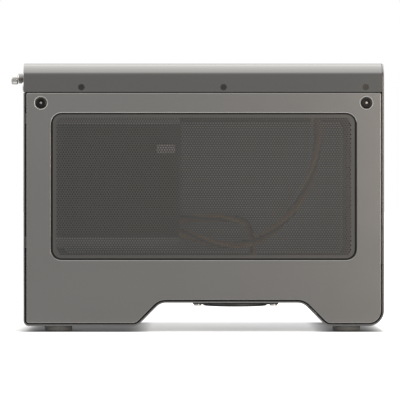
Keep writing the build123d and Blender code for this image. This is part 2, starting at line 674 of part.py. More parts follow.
def psu_circuit_board():
    wall = PSU_SIDE + 2 * PSU_SHEET
    rear, front = REAR_IN + INLET_DEPTH + 8.0, PSU_FRONT - 10.0
    low, high = PSU_BOTTOM + 8.0, PSU_TOP - 8.0
    top = wall + 5.0 + BOARD_SHEET
    board = block((rear, wall + 5.0, low), (front, top, high))
    for x in (rear + 5, front - 5):
        for z in (low + 5, high - 5):
            board += rod_y(3.0, x, wall, wall + 5.0, z)
    length = front - rear
    board += block((rear + 0.38 * length, top, low + 30), (rear + 0.72 * length, top + 24, low + 62))
    board += block((rear + 6, top, low + 4), (rear + 9, top + 26, high - 14))
    board += block((front - 12, top, low + 14), (front - 9, top + 26, high - 4))
    for z in (low + 76, low + 96):
        board += rod_y(8.5, rear + 0.5 * length, top, top + 24, z)
    return board


def psu_screws():
    cross = Rectangle(3.8, 0.9) + Rectangle(0.9, 3.8)
    screw = psu_screw_head(0) - extrude(Pos(0, 0, -1.0) * cross, 2.0)
    return [psu_screw_seat(y, z) * screw for y, z in psu_screw_places()]


def mains_inlet():
    mouth = Rectangle(INLET_WIDTH - 7, INLET_HEIGHT - 8.5)
    mouth = chamfer(mouth.vertices().group_by(Axis.Y)[-1], 4.0)
    place = inlet_place()
    inlet = along(place * RectangleRounded(INLET_WIDTH, INLET_HEIGHT, 1.5), REAR_IN - 2.0, REAR_IN)
    inlet += along(place * Rectangle(INLET_WIDTH - 4.4, INLET_HEIGHT - 4.4), REAR_IN, REAR_IN + INLET_DEPTH)
    return inlet - along(place * mouth, REAR_IN - 3.0, REAR_IN + INLET_DEPTH - 3.0)


def mains_pins():
    pins = []
    for y, z in ((-7.0, -2.0), (0.0, 2.0), (7.0, -2.0)):
        pin = inlet_place() * Pos(y, z) * Rectangle(2.0, 4.0)
        pins.append(along(pin, REAR_IN + 2.0, REAR_IN + INLET_DEPTH - 3.0))
    return pins


def switch_bezel():
    place = switch_place()
    bezel = along(place * RectangleRounded(SWITCH_WIDTH, SWITCH_HEIGHT, 1.0), REAR_IN - 1.6, REAR_IN)
    bezel += along(place * Rectangle(SWITCH_WIDTH - 2.4, SWITCH_HEIGHT - 2.4), REAR_IN, REAR_IN + 12.0)
    opening = place * Rectangle(SWITCH_WIDTH - 4.4, SWITCH_HEIGHT - 4.4)
    bezel -= along(opening, REAR_IN - 2.0, REAR_IN + 10.5)
    y, z = place.position.X, place.position.Y
    return bezel + rod_y(1.2, REAR_IN + 2.0, y - SWITCH_WIDTH / 2 + 1.6, y + SWITCH_WIDTH / 2 - 1.6, z)


def switch_rocker():
    place = switch_place()
    y, z = place.position.X, place.position.Y
    half = (SWITCH_HEIGHT - 4.4) / 2 - 0.9
    width = SWITCH_WIDTH - 4.4 - 2 * RUN_FIT
    back = [(1.5, half), (3.5, 0), (1.5, -half)]
    paddle = Polyline((-3.2, -half), (-1.6, 0), (-3.2, half), *back, close=True)
    rocker = across(make_face(paddle.edges()), -width / 2, width / 2)
    rocker -= rod_y(1.2 + RUN_FIT, 0, -width, width, 0)
    return Pos(REAR_IN + 2.0, y, z) * Rot(0, SWITCH_TILT, 0) * rocker


# Main board on its tray, with the card slot and the parts round it
def board_tray():
    far = TRAY_SIDE + TRAY_WIDTH
    front = REAR_IN + TRAY_LENGTH
    tray = block((REAR_IN, TRAY_SIDE, TRAY_TOP - TRAY_SHEET), (front, far, TRAY_TOP))
    tray += block((front - TRAY_SHEET, TRAY_SIDE, CROWN_TOP), (front, far, TRAY_TOP))
    tray += block((REAR_IN, TRAY_SIDE, TRAY_TOP - 20), (REAR_IN + TRAY_SHEET, far, TRAY_TOP))
    for x, y in standoff_places():
        tray -= rod_z(1.5 + FIT, x, y, TRAY_TOP - 2 * TRAY_SHEET, TRAY_TOP + 1)
    return tray


def standoff_places():
    """The six stand-offs under the main board."""
    rows = (BOARD_SIDE + 4.0, BOARD_SIDE + BOARD_WIDTH - 4.0)
    columns = (BOARD_REAR + 14.0, BOARD_REAR + BOARD_LENGTH / 2 + 32.0, BOARD_REAR + BOARD_LENGTH - 5.0)
    return [(x, y) for x in columns for y in rows]


def board_standoffs():
    posts = []
    for x, y in standoff_places():
        post = extrude(Pos(x, y, TRAY_TOP) * RegularPolygon(3.0, 6), STANDOFF)
        post += rod_z(1.5, x, y, TRAY_TOP - TRAY_SHEET - 2, BOARD_TOP + 1.5)
        posts.append(post)
    return posts


def main_board():
    board = block((BOARD_REAR, BOARD_SIDE, BOARD_BOTTOM),
                  (BOARD_REAR + BOARD_LENGTH, BOARD_SIDE + BOARD_WIDTH, BOARD_TOP))
    for x, y in standoff_places():
        board -= rod_z(1.5 + FIT, x, y, BOARD_BOTTOM - 1, BOARD_TOP + 1)
    return board


def card_slot():
    rear = BOARD_REAR + SLOT_SETBACK
    front = rear + SLOT_LENGTH
    half = SLOT_WIDTH / 2
    top = BOARD_TOP + SLOT_HEIGHT
    slot = block((rear, CARD_Y - half, BOARD_TOP), (front, CARD_Y + half, top))
    for start, end in ((2.0, 13.6), (15.4, SLOT_LENGTH - 2.0)):
        slot -= block((rear + start, CARD_Y - 0.9, BOARD_TOP + 3.0), (rear + end, CARD_Y + 0.9, top + 1))
    latch = block((front, CARD_Y - 2.5, BOARD_TOP), (front + 6, CARD_Y + 2.5, top + 3))
    return slot + latch


def controller_heatsink():
    rear = BOARD_REAR + BOARD_LENGTH - 62.0
    far = BOARD_SIDE + BOARD_WIDTH - 8.0
    near = far - 34.0
    sink = block((rear, near, BOARD_TOP), (rear + 44, far, BOARD_TOP + 4))
    for fin in range(8):
        y = near + fin * (34.0 - 1.2) / 7
        sink += block((rear, y, BOARD_TOP), (rear + 44, y + 1.2, BOARD_TOP + 18))
    return sink


def board_capacitors():
    far = BOARD_SIDE + BOARD_WIDTH - 9.0
    return [rod_z(4.0, BOARD_REAR + 62.0 + 10.5 * i, far, BOARD_TOP, BOARD_TOP + 11.0) for i in range(5)]


def host_port():
    z = BOARD_TOP + PORT_HEIGHT / 2
    shell = along(Pos(PORT_Y, z) * RectangleRounded(PORT_WIDTH, PORT_HEIGHT, 1.4), REAR_X, REAR_IN + 8.0)
    mouth = RectangleRounded(PORT_WIDTH - 0.6, PORT_HEIGHT - 0.6, 1.1)
    shell -= along(Pos(PORT_Y, z) * mouth, REAR_X - 1, REAR_IN + 6.0)
    tongue = block((REAR_X + 1.0, PORT_Y - 3.3, z - 0.35), (REAR_IN + 7.0, PORT_Y + 3.3, z + 0.35))
    return shell + tongue


def power_header():
    length, width, height = HEADER_SIZE
    near, far = HEADER_Y - width / 2, HEADER_Y + width / 2
    rear, front = HEADER_X, HEADER_X + length
    top = BOARD_TOP + height
    header = block((rear, near, BOARD_TOP), (front, far, top))
    wall = HEADER_WALL
    return header - block((rear + wall, near + wall, BOARD_TOP + 3), (front - wall, far - wall, top + 1))


def board_power_plug():
    length, width, height = HEADER_SIZE
    top = BOARD_TOP + height + PLUG_HEIGHT
    edge = HEADER_WALL + FIT
    near, far = HEADER_Y - width / 2, HEADER_Y + width / 2
    low, high = HEADER_X + edge, HEADER_X + length - edge
    plug = block((low, near + edge, BOARD_TOP + 3), (high, far - edge, top))
    middle = HEADER_X + length / 2
    return plug + block((middle - 2, near - 1.5, BOARD_TOP + height), (middle + 2, HEADER_Y, top))


# Slot covers on a ledge bracket behind the rear wall
def slot_cover(y):
    half = SLOT_COVER_WIDTH / 2
    cover = block((REAR_IN, y - half, COVER_BOTTOM), (REAR_IN + SLOT_COVER_SHEET, y + half, COVER_TOP))
    cover += block((REAR_IN, y - half, COVER_TOP - SLOT_COVER_SHEET), (REAR_IN + 11.0, y + half, COVER_TOP))
    return cover - rod_z(1.75 + FIT, REAR_IN + 6.5, y, COVER_TOP - 2, COVER_TOP + 1)


def slot_ledge():
    near, far = SLOT_Y[0] - SLOT_COVER_WIDTH / 2 - 3.0, SLOT_Y[-1] + SLOT_COVER_WIDTH / 2 + 3.0
    top = COVER_TOP - SLOT_COVER_SHEET
    back = REAR_IN + SLOT_COVER_SHEET + 0.2
    ledge = block((back, near, top - RAIL_SHEET), (REAR_IN + 11.0, far, top))
    for y in (near, far - RAIL_SHEET):
        ledge += block((REAR_IN, y, top - 14.0), (REAR_IN + 11.0, y + RAIL_SHEET, top))
    for y in SLOT_Y:
        ledge -= rod_z(1.75 + FIT, REAR_IN + 6.5, y, top - 3, top + 1)
    return ledge


def slot_cover_screws():
    screw = cap_screw(7.0, 2.4, 3.5, 5.0, 3.6)
    return [Pos(REAR_IN + 6.5, y, COVER_TOP) * screw for y in SLOT_Y]


# Front fan on a bracket that holds the front perforated sheet, and the bottom fan in the arch
def front_fan_bracket():
    side = FRONT_WINDOW_WIDTH / 2 + MESH_FLANGE + 1.0
    half = WINDOW_HEIGHT / 2 + MESH_FLANGE
    low, high = WINDOW_MID_Z - half, WINDOW_MID_Z + half
    bracket = block((BRACKET_BACK, -side - 7, low), (FRONT_IN - MESH_SHEET, side + 7, high))
    for y in (-side - 7, side):
        bracket += block((BRACKET_BACK, y, low), (FRONT_IN, y + 7, high))
    bracket -= rod_x(FRONT_FAN / 2 - FAN_WALL, BRACKET_BACK - 1, FRONT_IN, 0, WINDOW_MID_Z)
    for y, z in fan_corners(0, WINDOW_MID_Z, FRONT_FAN_HOLES):
        bracket -= rod_x(FAN_SCREW / 2 + SCREW_FIT, BRACKET_BACK - 1, FRONT_IN, y, z)
    return bracket


def front_fan_place():
    return Plane(origin=(BRACKET_BACK - FRONT_FAN_DEPTH, 0, WINDOW_MID_Z), x_dir=(0, 1, 0), z_dir=(1, 0, 0))


def front_fan_screws():
    screws = []
    for y, z in fan_corners(0, WINDOW_MID_Z, FRONT_FAN_HOLES):
        screw = extrude(Circle(3.2), 0.6) + extrude(Circle(FAN_SCREW / 2), -12)
        screws.append(Pos(FRONT_IN - MESH_SHEET, y, z) * Rot(0, 90, 0) * screw)
    return screws


def bottom_fan_place():
    return Pos(BOTTOM_FAN_X, BOTTOM_FAN_Y, CROWN_TOP)


def bottom_fan_guard():
    top = CROWN_TOP - WRAP_SHEET
    low = top - GUARD_DROP
    corner = BOTTOM_FAN_HOLES / sqrt(2)
    knee = GUARD_RINGS[-1] - 4.0
    level = low + GUARD_WIRE * 1.5
    line = Polyline((GUARD_RINGS[0], level), (knee, level), (corner - 4.0, top - GUARD_WIRE / 2))
    arm_face = trace(line, GUARD_WIRE)
    guard = Part()
    for turn in range(4):
        arm = across(arm_face, -GUARD_WIRE / 2, GUARD_WIRE / 2)
        loop = rod_z(FAN_SCREW / 2 + GUARD_WIRE + 1.0, corner, 0, top - GUARD_WIRE, top)
        arm += loop - rod_z(FAN_SCREW / 2 + SCREW_FIT, corner, 0, top - GUARD_WIRE, top)
        guard += Rot(0, 0, 45 + 90 * turn) * arm
    for radius in GUARD_RINGS[:-1]:
        ring = Circle(radius + GUARD_WIRE / 2) - Circle(radius - GUARD_WIRE / 2)
        guard += extrude(Pos(0, 0, low) * ring, GUARD_WIRE)
    ring = Circle(GUARD_RINGS[-1] + GUARD_WIRE / 2) - Circle(GUARD_RINGS[-1] - GUARD_WIRE / 2)
    guard += extrude(Pos(0, 0, low + GUARD_WIRE) * ring, GUARD_WIRE)
    return Pos(BOTTOM_FAN_X, BOTTOM_FAN_Y, 0) * guard


def bottom_fan_screws():
    seat = CROWN_TOP - WRAP_SHEET - GUARD_WIRE
    screw = cap_screw(7.0, 1.5, FAN_SCREW, WRAP_SHEET + GUARD_WIRE + 9.0, 3.6)
    corners = fan_corners(BOTTOM_FAN_X, BOTTOM_FAN_Y, BOTTOM_FAN_HOLES)
    return [Pos(x, y, seat) * Rot(180, 0, 0) * screw for x, y in corners]


# Cables held along their routes, and the front power light
def tube(line):
    """A round cable along a line."""
    start = Plane(origin=line @ 0, z_dir=line % 0)
    return sweep(start * Circle(CABLE_RADIUS), path=line)


def card_power_cable():
    """From the supply it sags forward, sweeps up the front and comes back through the clip."""
    y, z = psu_lead_places()[0]
    start = PSU_FRONT - PSU_SHEET
    bend_x = FRONT_IN - CABLE_SETBACK
    reach = bend_x - start
    route = [(start, y, z)]
    for share, rise in ((0.26, -13.0), (0.54, -10.0), (0.79, 14.0), (0.94, 50.0)):
        route.append((start + share * reach, y, z + rise))
    route.append((bend_x, y, (z + CLIP_Z) / 2 + 34.0))
    route.append((CLIP_X + CLIP_LENGTH + 2.0, y, CLIP_Z))
    sweep_up = Spline(*route, tangents=[(1, 0, -0.3), (-1, 0, 0)])
    return tube(sweep_up + Line(route[-1], (CLIP_X - CLIP_LENGTH, y, CLIP_Z)))


def card_power_plug():
    rear, front = CLIP_X - CLIP_LENGTH - 22.0, CLIP_X - CLIP_LENGTH
    return block((rear, CABLE_SIDE - 4.5, CLIP_Z - 9), (front, CABLE_SIDE + 4.5, CLIP_Z + 4.6))


def cable_clip():
    half = CABLE_RADIUS + 2.0
    near, far = CABLE_SIDE - half, CABLE_SIDE + half
    clip = block((CLIP_X, near, CLIP_Z - half), (CLIP_X + CLIP_LENGTH, far, PANEL_TOP - RAIL_SHEET))
    return clip - rod_x(CABLE_RADIUS + FIT, CLIP_X - 1, CLIP_X + CLIP_LENGTH + 1, CABLE_SIDE, CLIP_Z)


def board_power_cable():
    """From the supply across to the plug on the main board, coming down on it from above."""
    y, z = psu_lead_places()[1]
    length, width, height = HEADER_SIZE
    end = (HEADER_X + length / 2, HEADER_Y, BOARD_TOP + height + PLUG_HEIGHT)
    start = (PSU_FRONT - PSU_SHEET, y, z)
    middle = ((start[0] + end[0]) / 2, y + 4.0, z + 1.0)
    return tube(Spline(start, middle, end, tangents=[(1, 0, 0.1), (0, 0, -1)]))


def power_light():
    light = rod_x(2.0, FRONT_IN - 5, FRONT_X + 0.4, 0, LIGHT_Z)
    return light + rod_x(3.4, FRONT_IN - 2, FRONT_IN, 0, LIGHT_Z)


def build_all():
    """Every piece by its name, or a list of separate solids for a group."""
    panel, mesh, runner = side_panel(), side_mesh(), hood_runner()
    front_place, bottom_place = front_fan_place(), bottom_fan_place()
    pieces = {
        "chassis_wrap": chassis_wrap(),
        "side_panel_right": panel,
        "side_panel_left": mirrored(panel),
        "side_mesh_right": mesh,
        "side_mesh_left": mirrored(mesh),
        "front_mesh": front_mesh(),
        "panel_screws": panel_screws(),
        "hood": hood(),
        "hood_runner_right": runner,
        "hood_runner_left": mirrored(runner),
        "hood_screws": hood_screws(),
        "thumbscrew_right": thumbscrew(-1),
        "thumbscrew_left": thumbscrew(1),
        "thumbscrew_ferrules": ferrules(),
        "top_frame": top_frame(),
        "psu_case": psu_case(),
        "psu_cover": psu_cover(),
        "psu_circuit_board": psu_circuit_board(),
        "psu_fan_frame": psu_fan_place() * fan_frame(PSU_FAN, PSU_FAN_DEPTH, PSU_FAN_HOLES),
        "psu_fan_rotor": psu_fan_place() * fan_rotor(PSU_FAN, PSU_FAN_DEPTH),
        "psu_screws": psu_screws(),
        "mains_inlet": mains_inlet(),
        "mains_pins": mains_pins(),
        "switch_bezel": switch_bezel(),
        "switch_rocker": switch_rocker(),
        "board_tray": board_tray(),
        "board_standoffs": board_standoffs(),
        "main_board": main_board(),
        "card_slot": card_slot(),
        "controller_heatsink": controller_heatsink(),
        "board_capacitors": board_capacitors(),
        "host_port": host_port(),
        "power_header": power_header(),
        "board_power_plug": board_power_plug(),
        "slot_ledge": slot_ledge(),
        "slot_cover_screws": slot_cover_screws(),
        "front_fan_bracket": front_fan_bracket(),
        "front_fan_frame": front_place * fan_frame(FRONT_FAN, FRONT_FAN_DEPTH, FRONT_FAN_HOLES),
        "front_fan_rotor": front_place * fan_rotor(FRONT_FAN, FRONT_FAN_DEPTH),
        "front_fan_screws": front_fan_screws(),
        "bottom_fan_frame": bottom_place * fan_frame(BOTTOM_FAN, BOTTOM_FAN_DEPTH, BOTTOM_FAN_HOLES),
        "bottom_fan_rotor": bottom_place * fan_rotor(BOTTOM_FAN, BOTTOM_FAN_DEPTH),
        "bottom_fan_guard": bottom_fan_guard(),
        "bottom_fan_screws": bottom_fan_screws(),
        "card_power_cable": card_power_cable(),
        "card_power_plug": card_power_plug(),
        "cable_clip": cable_clip(),
        "board_power_cable": board_power_cable(),
        "power_light": power_light(),
    }
    for number, y in enumerate(SLOT_Y, 1):
        pieces[f"slot_cover_{number}"] = slot_cover(y)
    pieces.update(feet())
    return pieces


# The thumbscrews reach out behind, so the whole is moved to centre its outer box
CENTRE_SHIFT = Pos(THUMB_LENGTH / 2, 0, 0)

os.makedirs("parts", exist_ok=True)
for name, piece in build_all().items():
    solids = []
    for shape in piece if isinstance(piece, list) else [piece]:
        solids += (CENTRE_SHIFT * shape).solids()
    shape = solids[0] if len(solids) == 1 else Compound(children=solids)
    export_step(shape, f"parts/{name}.step")
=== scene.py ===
import math

import bmesh
import bpy
from mathutils import Matrix, Vector


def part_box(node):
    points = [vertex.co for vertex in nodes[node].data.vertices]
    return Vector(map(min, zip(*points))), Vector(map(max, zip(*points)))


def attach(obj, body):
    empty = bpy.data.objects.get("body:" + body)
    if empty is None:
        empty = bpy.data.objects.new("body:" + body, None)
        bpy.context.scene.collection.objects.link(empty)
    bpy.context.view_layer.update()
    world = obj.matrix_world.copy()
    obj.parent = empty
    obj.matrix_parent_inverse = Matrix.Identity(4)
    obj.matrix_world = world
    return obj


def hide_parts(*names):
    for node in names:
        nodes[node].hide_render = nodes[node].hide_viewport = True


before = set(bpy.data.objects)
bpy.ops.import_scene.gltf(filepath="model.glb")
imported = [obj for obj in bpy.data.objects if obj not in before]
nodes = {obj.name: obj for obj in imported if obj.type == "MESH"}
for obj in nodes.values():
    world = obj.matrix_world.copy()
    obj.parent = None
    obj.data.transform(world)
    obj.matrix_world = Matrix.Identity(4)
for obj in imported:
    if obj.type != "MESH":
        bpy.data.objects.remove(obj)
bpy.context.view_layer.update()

# Camera: level with the middle of the box, two metres off its right-hand side, with a long lens.
camera_data = bpy.data.cameras.new("photo_camera")
camera_data.sensor_width = 36.0
camera_data.lens = 192.2
camera_data.clip_end = 50.0
camera = bpy.data.objects.new("photo_camera", camera_data)
camera.location = (0.0025, -2.0785, 0.1236)
camera.rotation_euler = (math.radians(90), 0, 0)
bpy.context.scene.collection.objects.link(camera)
bpy.context.scene.camera = camera
bpy.context.scene.view_settings.view_transform = "Standard"

# Studio: a white room whose ceiling grows brighter to the back, with a grey screen in the middle of
# each wall. The camera sees plain white, metal sees the room, and the room lights everything softly.
ROOM_LIGHT = 0.64
ROOM_WALL = 0.47
ROOM_FRONT = 1.55
ROOM_BACK = 2.75
CEILING_REACH = (-0.78, 0.60)
SCREEN_EDGE = (0.97, 0.78)
BACK_SCREEN = 1.12


def feed(tree, socket, value):
    """Links an input to another node's output, or sets it to a fixed value."""
    if isinstance(value, bpy.types.NodeSocket):
        tree.links.new(value, socket)
    else:
        socket.default_value = value


def reckon(tree, operation, first, second=0.0):
    """One sum of two numbers, each fixed or from another node."""
    node = tree.nodes.new("ShaderNodeMath")
    node.operation = operation
    feed(tree, node.inputs[0], first)
    feed(tree, node.inputs[1], second)
    return node.outputs["Value"]


def blend(tree, factor, first, second, kind="RGBA"):
    """A mix of two colours, or of two numbers if the kind is FLOAT."""
    node = tree.nodes.new("ShaderNodeMix")
    node.data_type = kind
    feed(tree, node.inputs["Factor"], factor)
    for name, value in (("A", first), ("B", second)):
        feed(tree, node.inputs[name], (*value, 1) if isinstance(value, tuple) else value)
    return node.outputs["Result"]


def ramp(tree, value, reach, ends, interpolation="LINEAR"):
    """A number that runs from one end to the other while a value runs over its reach."""
    node = tree.nodes.new("ShaderNodeMapRange")
    node.interpolation_type = interpolation
    names = ("From Min", "From Max", "To Min", "To Max")
    for name, number in zip(names, (*reach, *ends)):
        node.inputs[name].default_value = number
    tree.links.new(value, node.inputs["Value"])
    return node.outputs["Result"]


def along_axes(tree, kind="Object"):
    """The X, Y and Z of a texture coordinate."""
    coords = tree.nodes.new("ShaderNodeTexCoord")
    split = tree.nodes.new("ShaderNodeSeparateXYZ")
    tree.links.new(coords.outputs[kind], split.inputs["Vector"])
    return split.outputs


world = bpy.data.worlds.new("white_room")
world.use_nodes = True
world.cycles.sampling_method = "NONE"
bpy.context.scene.world = world
room = world.node_tree
room.nodes.clear()
room_path = room.nodes.new("ShaderNodeLightPath")
room_way = along_axes(room, "Generated")
to_front = reckon(room, "MULTIPLY", room_way["Y"], -1.0)
to_back = reckon(room, "MULTIPLY", room_way["Y"], BACK_SCREEN)
to_side = reckon(room, "ABSOLUTE", room_way["X"])
to_screen = reckon(room, "MAXIMUM", to_side, reckon(room, "MAXIMUM", to_front, to_back))
past_screen = ramp(room, to_screen, SCREEN_EDGE, (0.0, 1.0), "SMOOTHSTEP")
ceiling = ramp(room, room_way["Y"], CEILING_REACH, (ROOM_FRONT, ROOM_BACK))
room_in_metal = blend(room, past_screen, ROOM_WALL, ceiling, "FLOAT")
room_unseen = blend(room, room_path.outputs["Is Glossy Ray"], ROOM_LIGHT, room_in_metal, "FLOAT")
room_strength = blend(room, room_path.outputs["Is Camera Ray"], room_unseen, 1.0, "FLOAT")
room_shell = room.nodes.new("ShaderNodeBackground")
room_shell.inputs["Color"].default_value = (1, 1, 1, 1)
room_out = room.nodes.new("ShaderNodeOutputWorld")
room.links.new(room_strength, room_shell.inputs["Strength"])
room.links.new(room_shell.outputs["Background"], room_out.inputs["Surface"])


def softbox(name, place, aim, width, height, power, colour):
    """A flat, square-cornered studio lamp that faces a point."""
    lamp = bpy.data.lights.new(name, "AREA")
    lamp.shape = "RECTANGLE"
    lamp.size = width
    lamp.size_y = height
    lamp.energy = power
    lamp.color = colour
    box = bpy.data.objects.new(name, lamp)
    box.location = place
    box.rotation_euler = (Vector(aim) - Vector(place)).to_track_quat("-Z", "Y").to_euler()
    bpy.context.scene.collection.objects.link(box)
    return box


overhead = softbox("overhead_softbox", (0.0, -0.7, 1.6), (0, 0, 0.1), 1.8, 1.2, 22.0, (1.0, 0.985, 0.965))
overhead.visible_glossy = False
softbox("warm_softbox", (1.0, -2.2, 0.2), (0, 0, 0.12), 0.8, 0.8, 13.5, (1.0, 0.85, 0.70))

# Floor: a wide white table top, drawn as white as the room. A painted shadow makes it greyer under the box,
# and a painted contact shadow from ambient occlusion makes it dark where the box stands close over it.
# A painted glow lightens it under the box towards the back. In metal the floor shows dim grey, with a painted
# pool of light round the box.
GLOW = 0.63
CONTACT_SHADOW_REACH = 0.012
PAINTED_UNDER_LIGHT = 0.06
PAINTED_UNDER_LIGHT_REACH = (-0.07, 0.02)
WHITE = 0.92
BOX_HALF = (0.175, 0.0785)
PAINTED_SHADOW_REACH = (-BOX_HALF[1], 0.03)
PAINTED_SHADOW = (0.63, 0.80)
PAINTED_POOL_REACH = (0.07, 0.0)
FAR_FLOOR = (0.30, 0.30, 0.30)


def steps_in_a_row(tree, value, *steps):
    """Sends a number through a row of sums, each with its fixed second number."""
    for operation, number in steps:
        value = reckon(tree, operation, value, number)
    return value


floor_mesh = bpy.data.meshes.new("floor")
floor_shape = bmesh.new()
bmesh.ops.create_grid(floor_shape, x_segments=1, y_segments=1, size=20.0)
floor_shape.to_mesh(floor_mesh)
floor_shape.free()
floor = bpy.data.objects.new("floor", floor_mesh)
bpy.context.scene.collection.objects.link(floor)
floor_paint = bpy.data.materials.new("white_table")
floor_paint.use_nodes = True
table = floor_paint.node_tree
table_shader = table.nodes["Principled BSDF"]
table_shader.inputs["Roughness"].default_value = 0.9
table_shader.inputs["Specular IOR Level"].default_value = 0.0
table_shader.inputs["Emission Color"].default_value = (1, 1, 1, 1)
table_path = table.nodes.new("ShaderNodeLightPath")
table_place = along_axes(table)
past_x = steps_in_a_row(table, table_place["X"], ("ABSOLUTE", 0), ("SUBTRACT", BOX_HALF[0]))
past_y = steps_in_a_row(table, table_place["Y"], ("ABSOLUTE", 0), ("SUBTRACT", BOX_HALF[1]))
past_box = reckon(table, "MAXIMUM", past_x, past_y)
under_box = reckon(table, "LESS_THAN", past_box, 0.0)
# Painted shadow: the floor under the box is drawn greyer, darker towards the front.
painted_shadow = ramp(table, table_place["Y"], PAINTED_SHADOW_REACH, PAINTED_SHADOW)
# Painted contact shadow: ambient occlusion darkens the floor's colour and glow where the box stands close
# over it.
contact_shadow = table.nodes.new("ShaderNodeAmbientOcclusion")
contact_shadow.inputs["Distance"].default_value = CONTACT_SHADOW_REACH
table.links.new(blend(table, under_box, WHITE, painted_shadow, "FLOAT"), contact_shadow.inputs["Color"])
shadowed_tone = contact_shadow.outputs["Color"]
# In metal the floor is drawn a dim grey, except for a painted pool of light that glows near the box.
from_metal = table_path.outputs["Is Glossy Ray"]
near_box = ramp(table, past_box, PAINTED_POOL_REACH, (0.0, 1.0), "SMOOTHSTEP")
painted_pool = reckon(table, "MULTIPLY", near_box, from_metal)
table_colour = blend(table, reckon(table, "SUBTRACT", from_metal, painted_pool), shadowed_tone, FAR_FLOOR)
table.links.new(table_colour, table_shader.inputs["Base Color"])
glowing = reckon(table, "MAXIMUM", table_path.outputs["Is Camera Ray"], painted_pool)
glow = reckon(table, "MULTIPLY", reckon(table, "MULTIPLY", glowing, shadowed_tone), GLOW)
# Painted light: a glow that rises towards the back and lightens the shadow under the box.
painted_under_light = ramp(table, table_place["Y"], PAINTED_UNDER_LIGHT_REACH, (0.0, PAINTED_UNDER_LIGHT))
table.links.new(reckon(table, "ADD", glow, painted_under_light), table_shader.inputs["Emission Strength"])
floor_mesh.materials.append(floor_paint)


# Wrap: one folded aluminium sheet for the rear wall, the arched bottom and the front wall. It is
# blasted fine and anodised grey, with a satin sheen and darker cut edges. Its inside is painted dull black as
# shade, so the gaps round the panels stay dark.
def new_finish(name, colour, metallic, roughness):
    """A material with a plain shader whose fixed numbers are set on the shader."""
    finish = bpy.data.materials.new(name)
    finish.use_nodes = True
    shader = finish.node_tree.nodes["Principled BSDF"]
    shader.inputs["Base Color"].default_value = (*colour, 1)
    shader.inputs["Metallic"].default_value = metallic
    shader.inputs["Roughness"].default_value = roughness
    return finish


def object_noise(finish, scale, detail):
    """A noise pattern in the object's own metres."""
    tree = finish.node_tree
    coords = tree.nodes.new("ShaderNodeTexCoord")
    noise = tree.nodes.new("ShaderNodeTexNoise")
    noise.inputs["Scale"].default_value = scale
    noise.inputs["Detail"].default_value = detail
    tree.links.new(coords.outputs["Object"], noise.inputs["Vector"])
    return noise


def add_grain(finish, scale, depth):
    """Fine roughness of the surface as bump, with its depth in metres."""
    tree = finish.node_tree
    noise = object_noise(finish, scale, 3.0)
    bump = tree.nodes.new("ShaderNodeBump")
    bump.inputs["Strength"].default_value = 0.5
    bump.inputs["Distance"].default_value = depth
    tree.links.new(noise.outputs["Fac"], bump.inputs["Height"])
    tree.links.new(bump.outputs["Normal"], tree.nodes["Principled BSDF"].inputs["Normal"])


def add_mottle(finish, colour, other, scale):
    """Slow drift between two near colours."""
    tree = finish.node_tree
    noise = object_noise(finish, scale, 4.0)
    drift = blend(tree, noise.outputs["Fac"], colour, other)
    tree.links.new(drift, tree.nodes["Principled BSDF"].inputs["Base Color"])
    return drift


def add_patchy_gloss(finish, low, high, scale):
    """Roughness that wanders between two values."""
    tree = finish.node_tree
    noise = object_noise(finish, scale, 2.0)
    gloss = ramp(tree, noise.outputs["Fac"], (0.0, 1.0), (low, high))
    tree.links.new(gloss, tree.nodes["Principled BSDF"].inputs["Roughness"])


def dress(finish, *names):
    """Gives the solids' own meshes a finish."""
    for name in names:
        nodes[name].data.materials.clear()
        nodes[name].data.materials.append(finish)


BLACK = (0.012, 0.012, 0.012)
SKIN = (0.249, 0.245, 0.238)
SKIN_LIGHT = (0.261, 0.257, 0.250)
SKIN_METAL = 0.7
SKIN_GLOSS = 0.5
WRAP_MIDDLE = (0.006, 0.0, 0.13)
CUT_EDGE = 0.0781
CUT_COLOUR = (0.135, 0.133, 0.129)
wrap_skin = new_finish("anodised_wrap", SKIN, SKIN_METAL, 0.22)
wrap_colour = add_mottle(wrap_skin, SKIN, SKIN_LIGHT, 14.0)
add_patchy_gloss(wrap_skin, 0.205, 0.235, 40.0)
add_grain(wrap_skin, 2600.0, 0.00002)
wrap_tree = wrap_skin.node_tree
wrap_shader = wrap_tree.nodes["Principled BSDF"]
wrap_coords = wrap_tree.nodes.new("ShaderNodeTexCoord")
wrap_outward = wrap_tree.nodes.new("ShaderNodeVectorMath")
wrap_outward.operation = "SUBTRACT"
wrap_outward.inputs[1].default_value = WRAP_MIDDLE
wrap_tree.links.new(wrap_coords.outputs["Object"], wrap_outward.inputs[0])
wrap_facing = wrap_tree.nodes.new("ShaderNodeVectorMath")
wrap_facing.operation = "DOT_PRODUCT"
wrap_tree.links.new(wrap_outward.outputs["Vector"], wrap_facing.inputs[0])
wrap_tree.links.new(wrap_coords.outputs["Normal"], wrap_facing.inputs[1])
# Painted shade: faces that look inwards are drawn dull black, without metal or gloss.
wrap_inside = reckon(wrap_tree, "LESS_THAN", wrap_facing.outputs["Value"], 0.0)
wrap_cut = steps_in_a_row(wrap_tree, along_axes(wrap_tree)["Y"], ("ABSOLUTE", 0), ("GREATER_THAN", CUT_EDGE))
wrap_outside = blend(wrap_tree, wrap_cut, wrap_colour, CUT_COLOUR)
wrap_tree.links.new(blend(wrap_tree, wrap_inside, wrap_outside, BLACK), wrap_shader.inputs["Base Color"])
for shader_input, full in (("Metallic", SKIN_METAL), ("Specular IOR Level", SKIN_GLOSS)):
    outside_only = steps_in_a_row(wrap_tree, wrap_inside, ("MULTIPLY", -full), ("ADD", full))
    wrap_tree.links.new(outside_only, wrap_shader.inputs[shader_input])
dress(wrap_skin, "chassis_wrap")

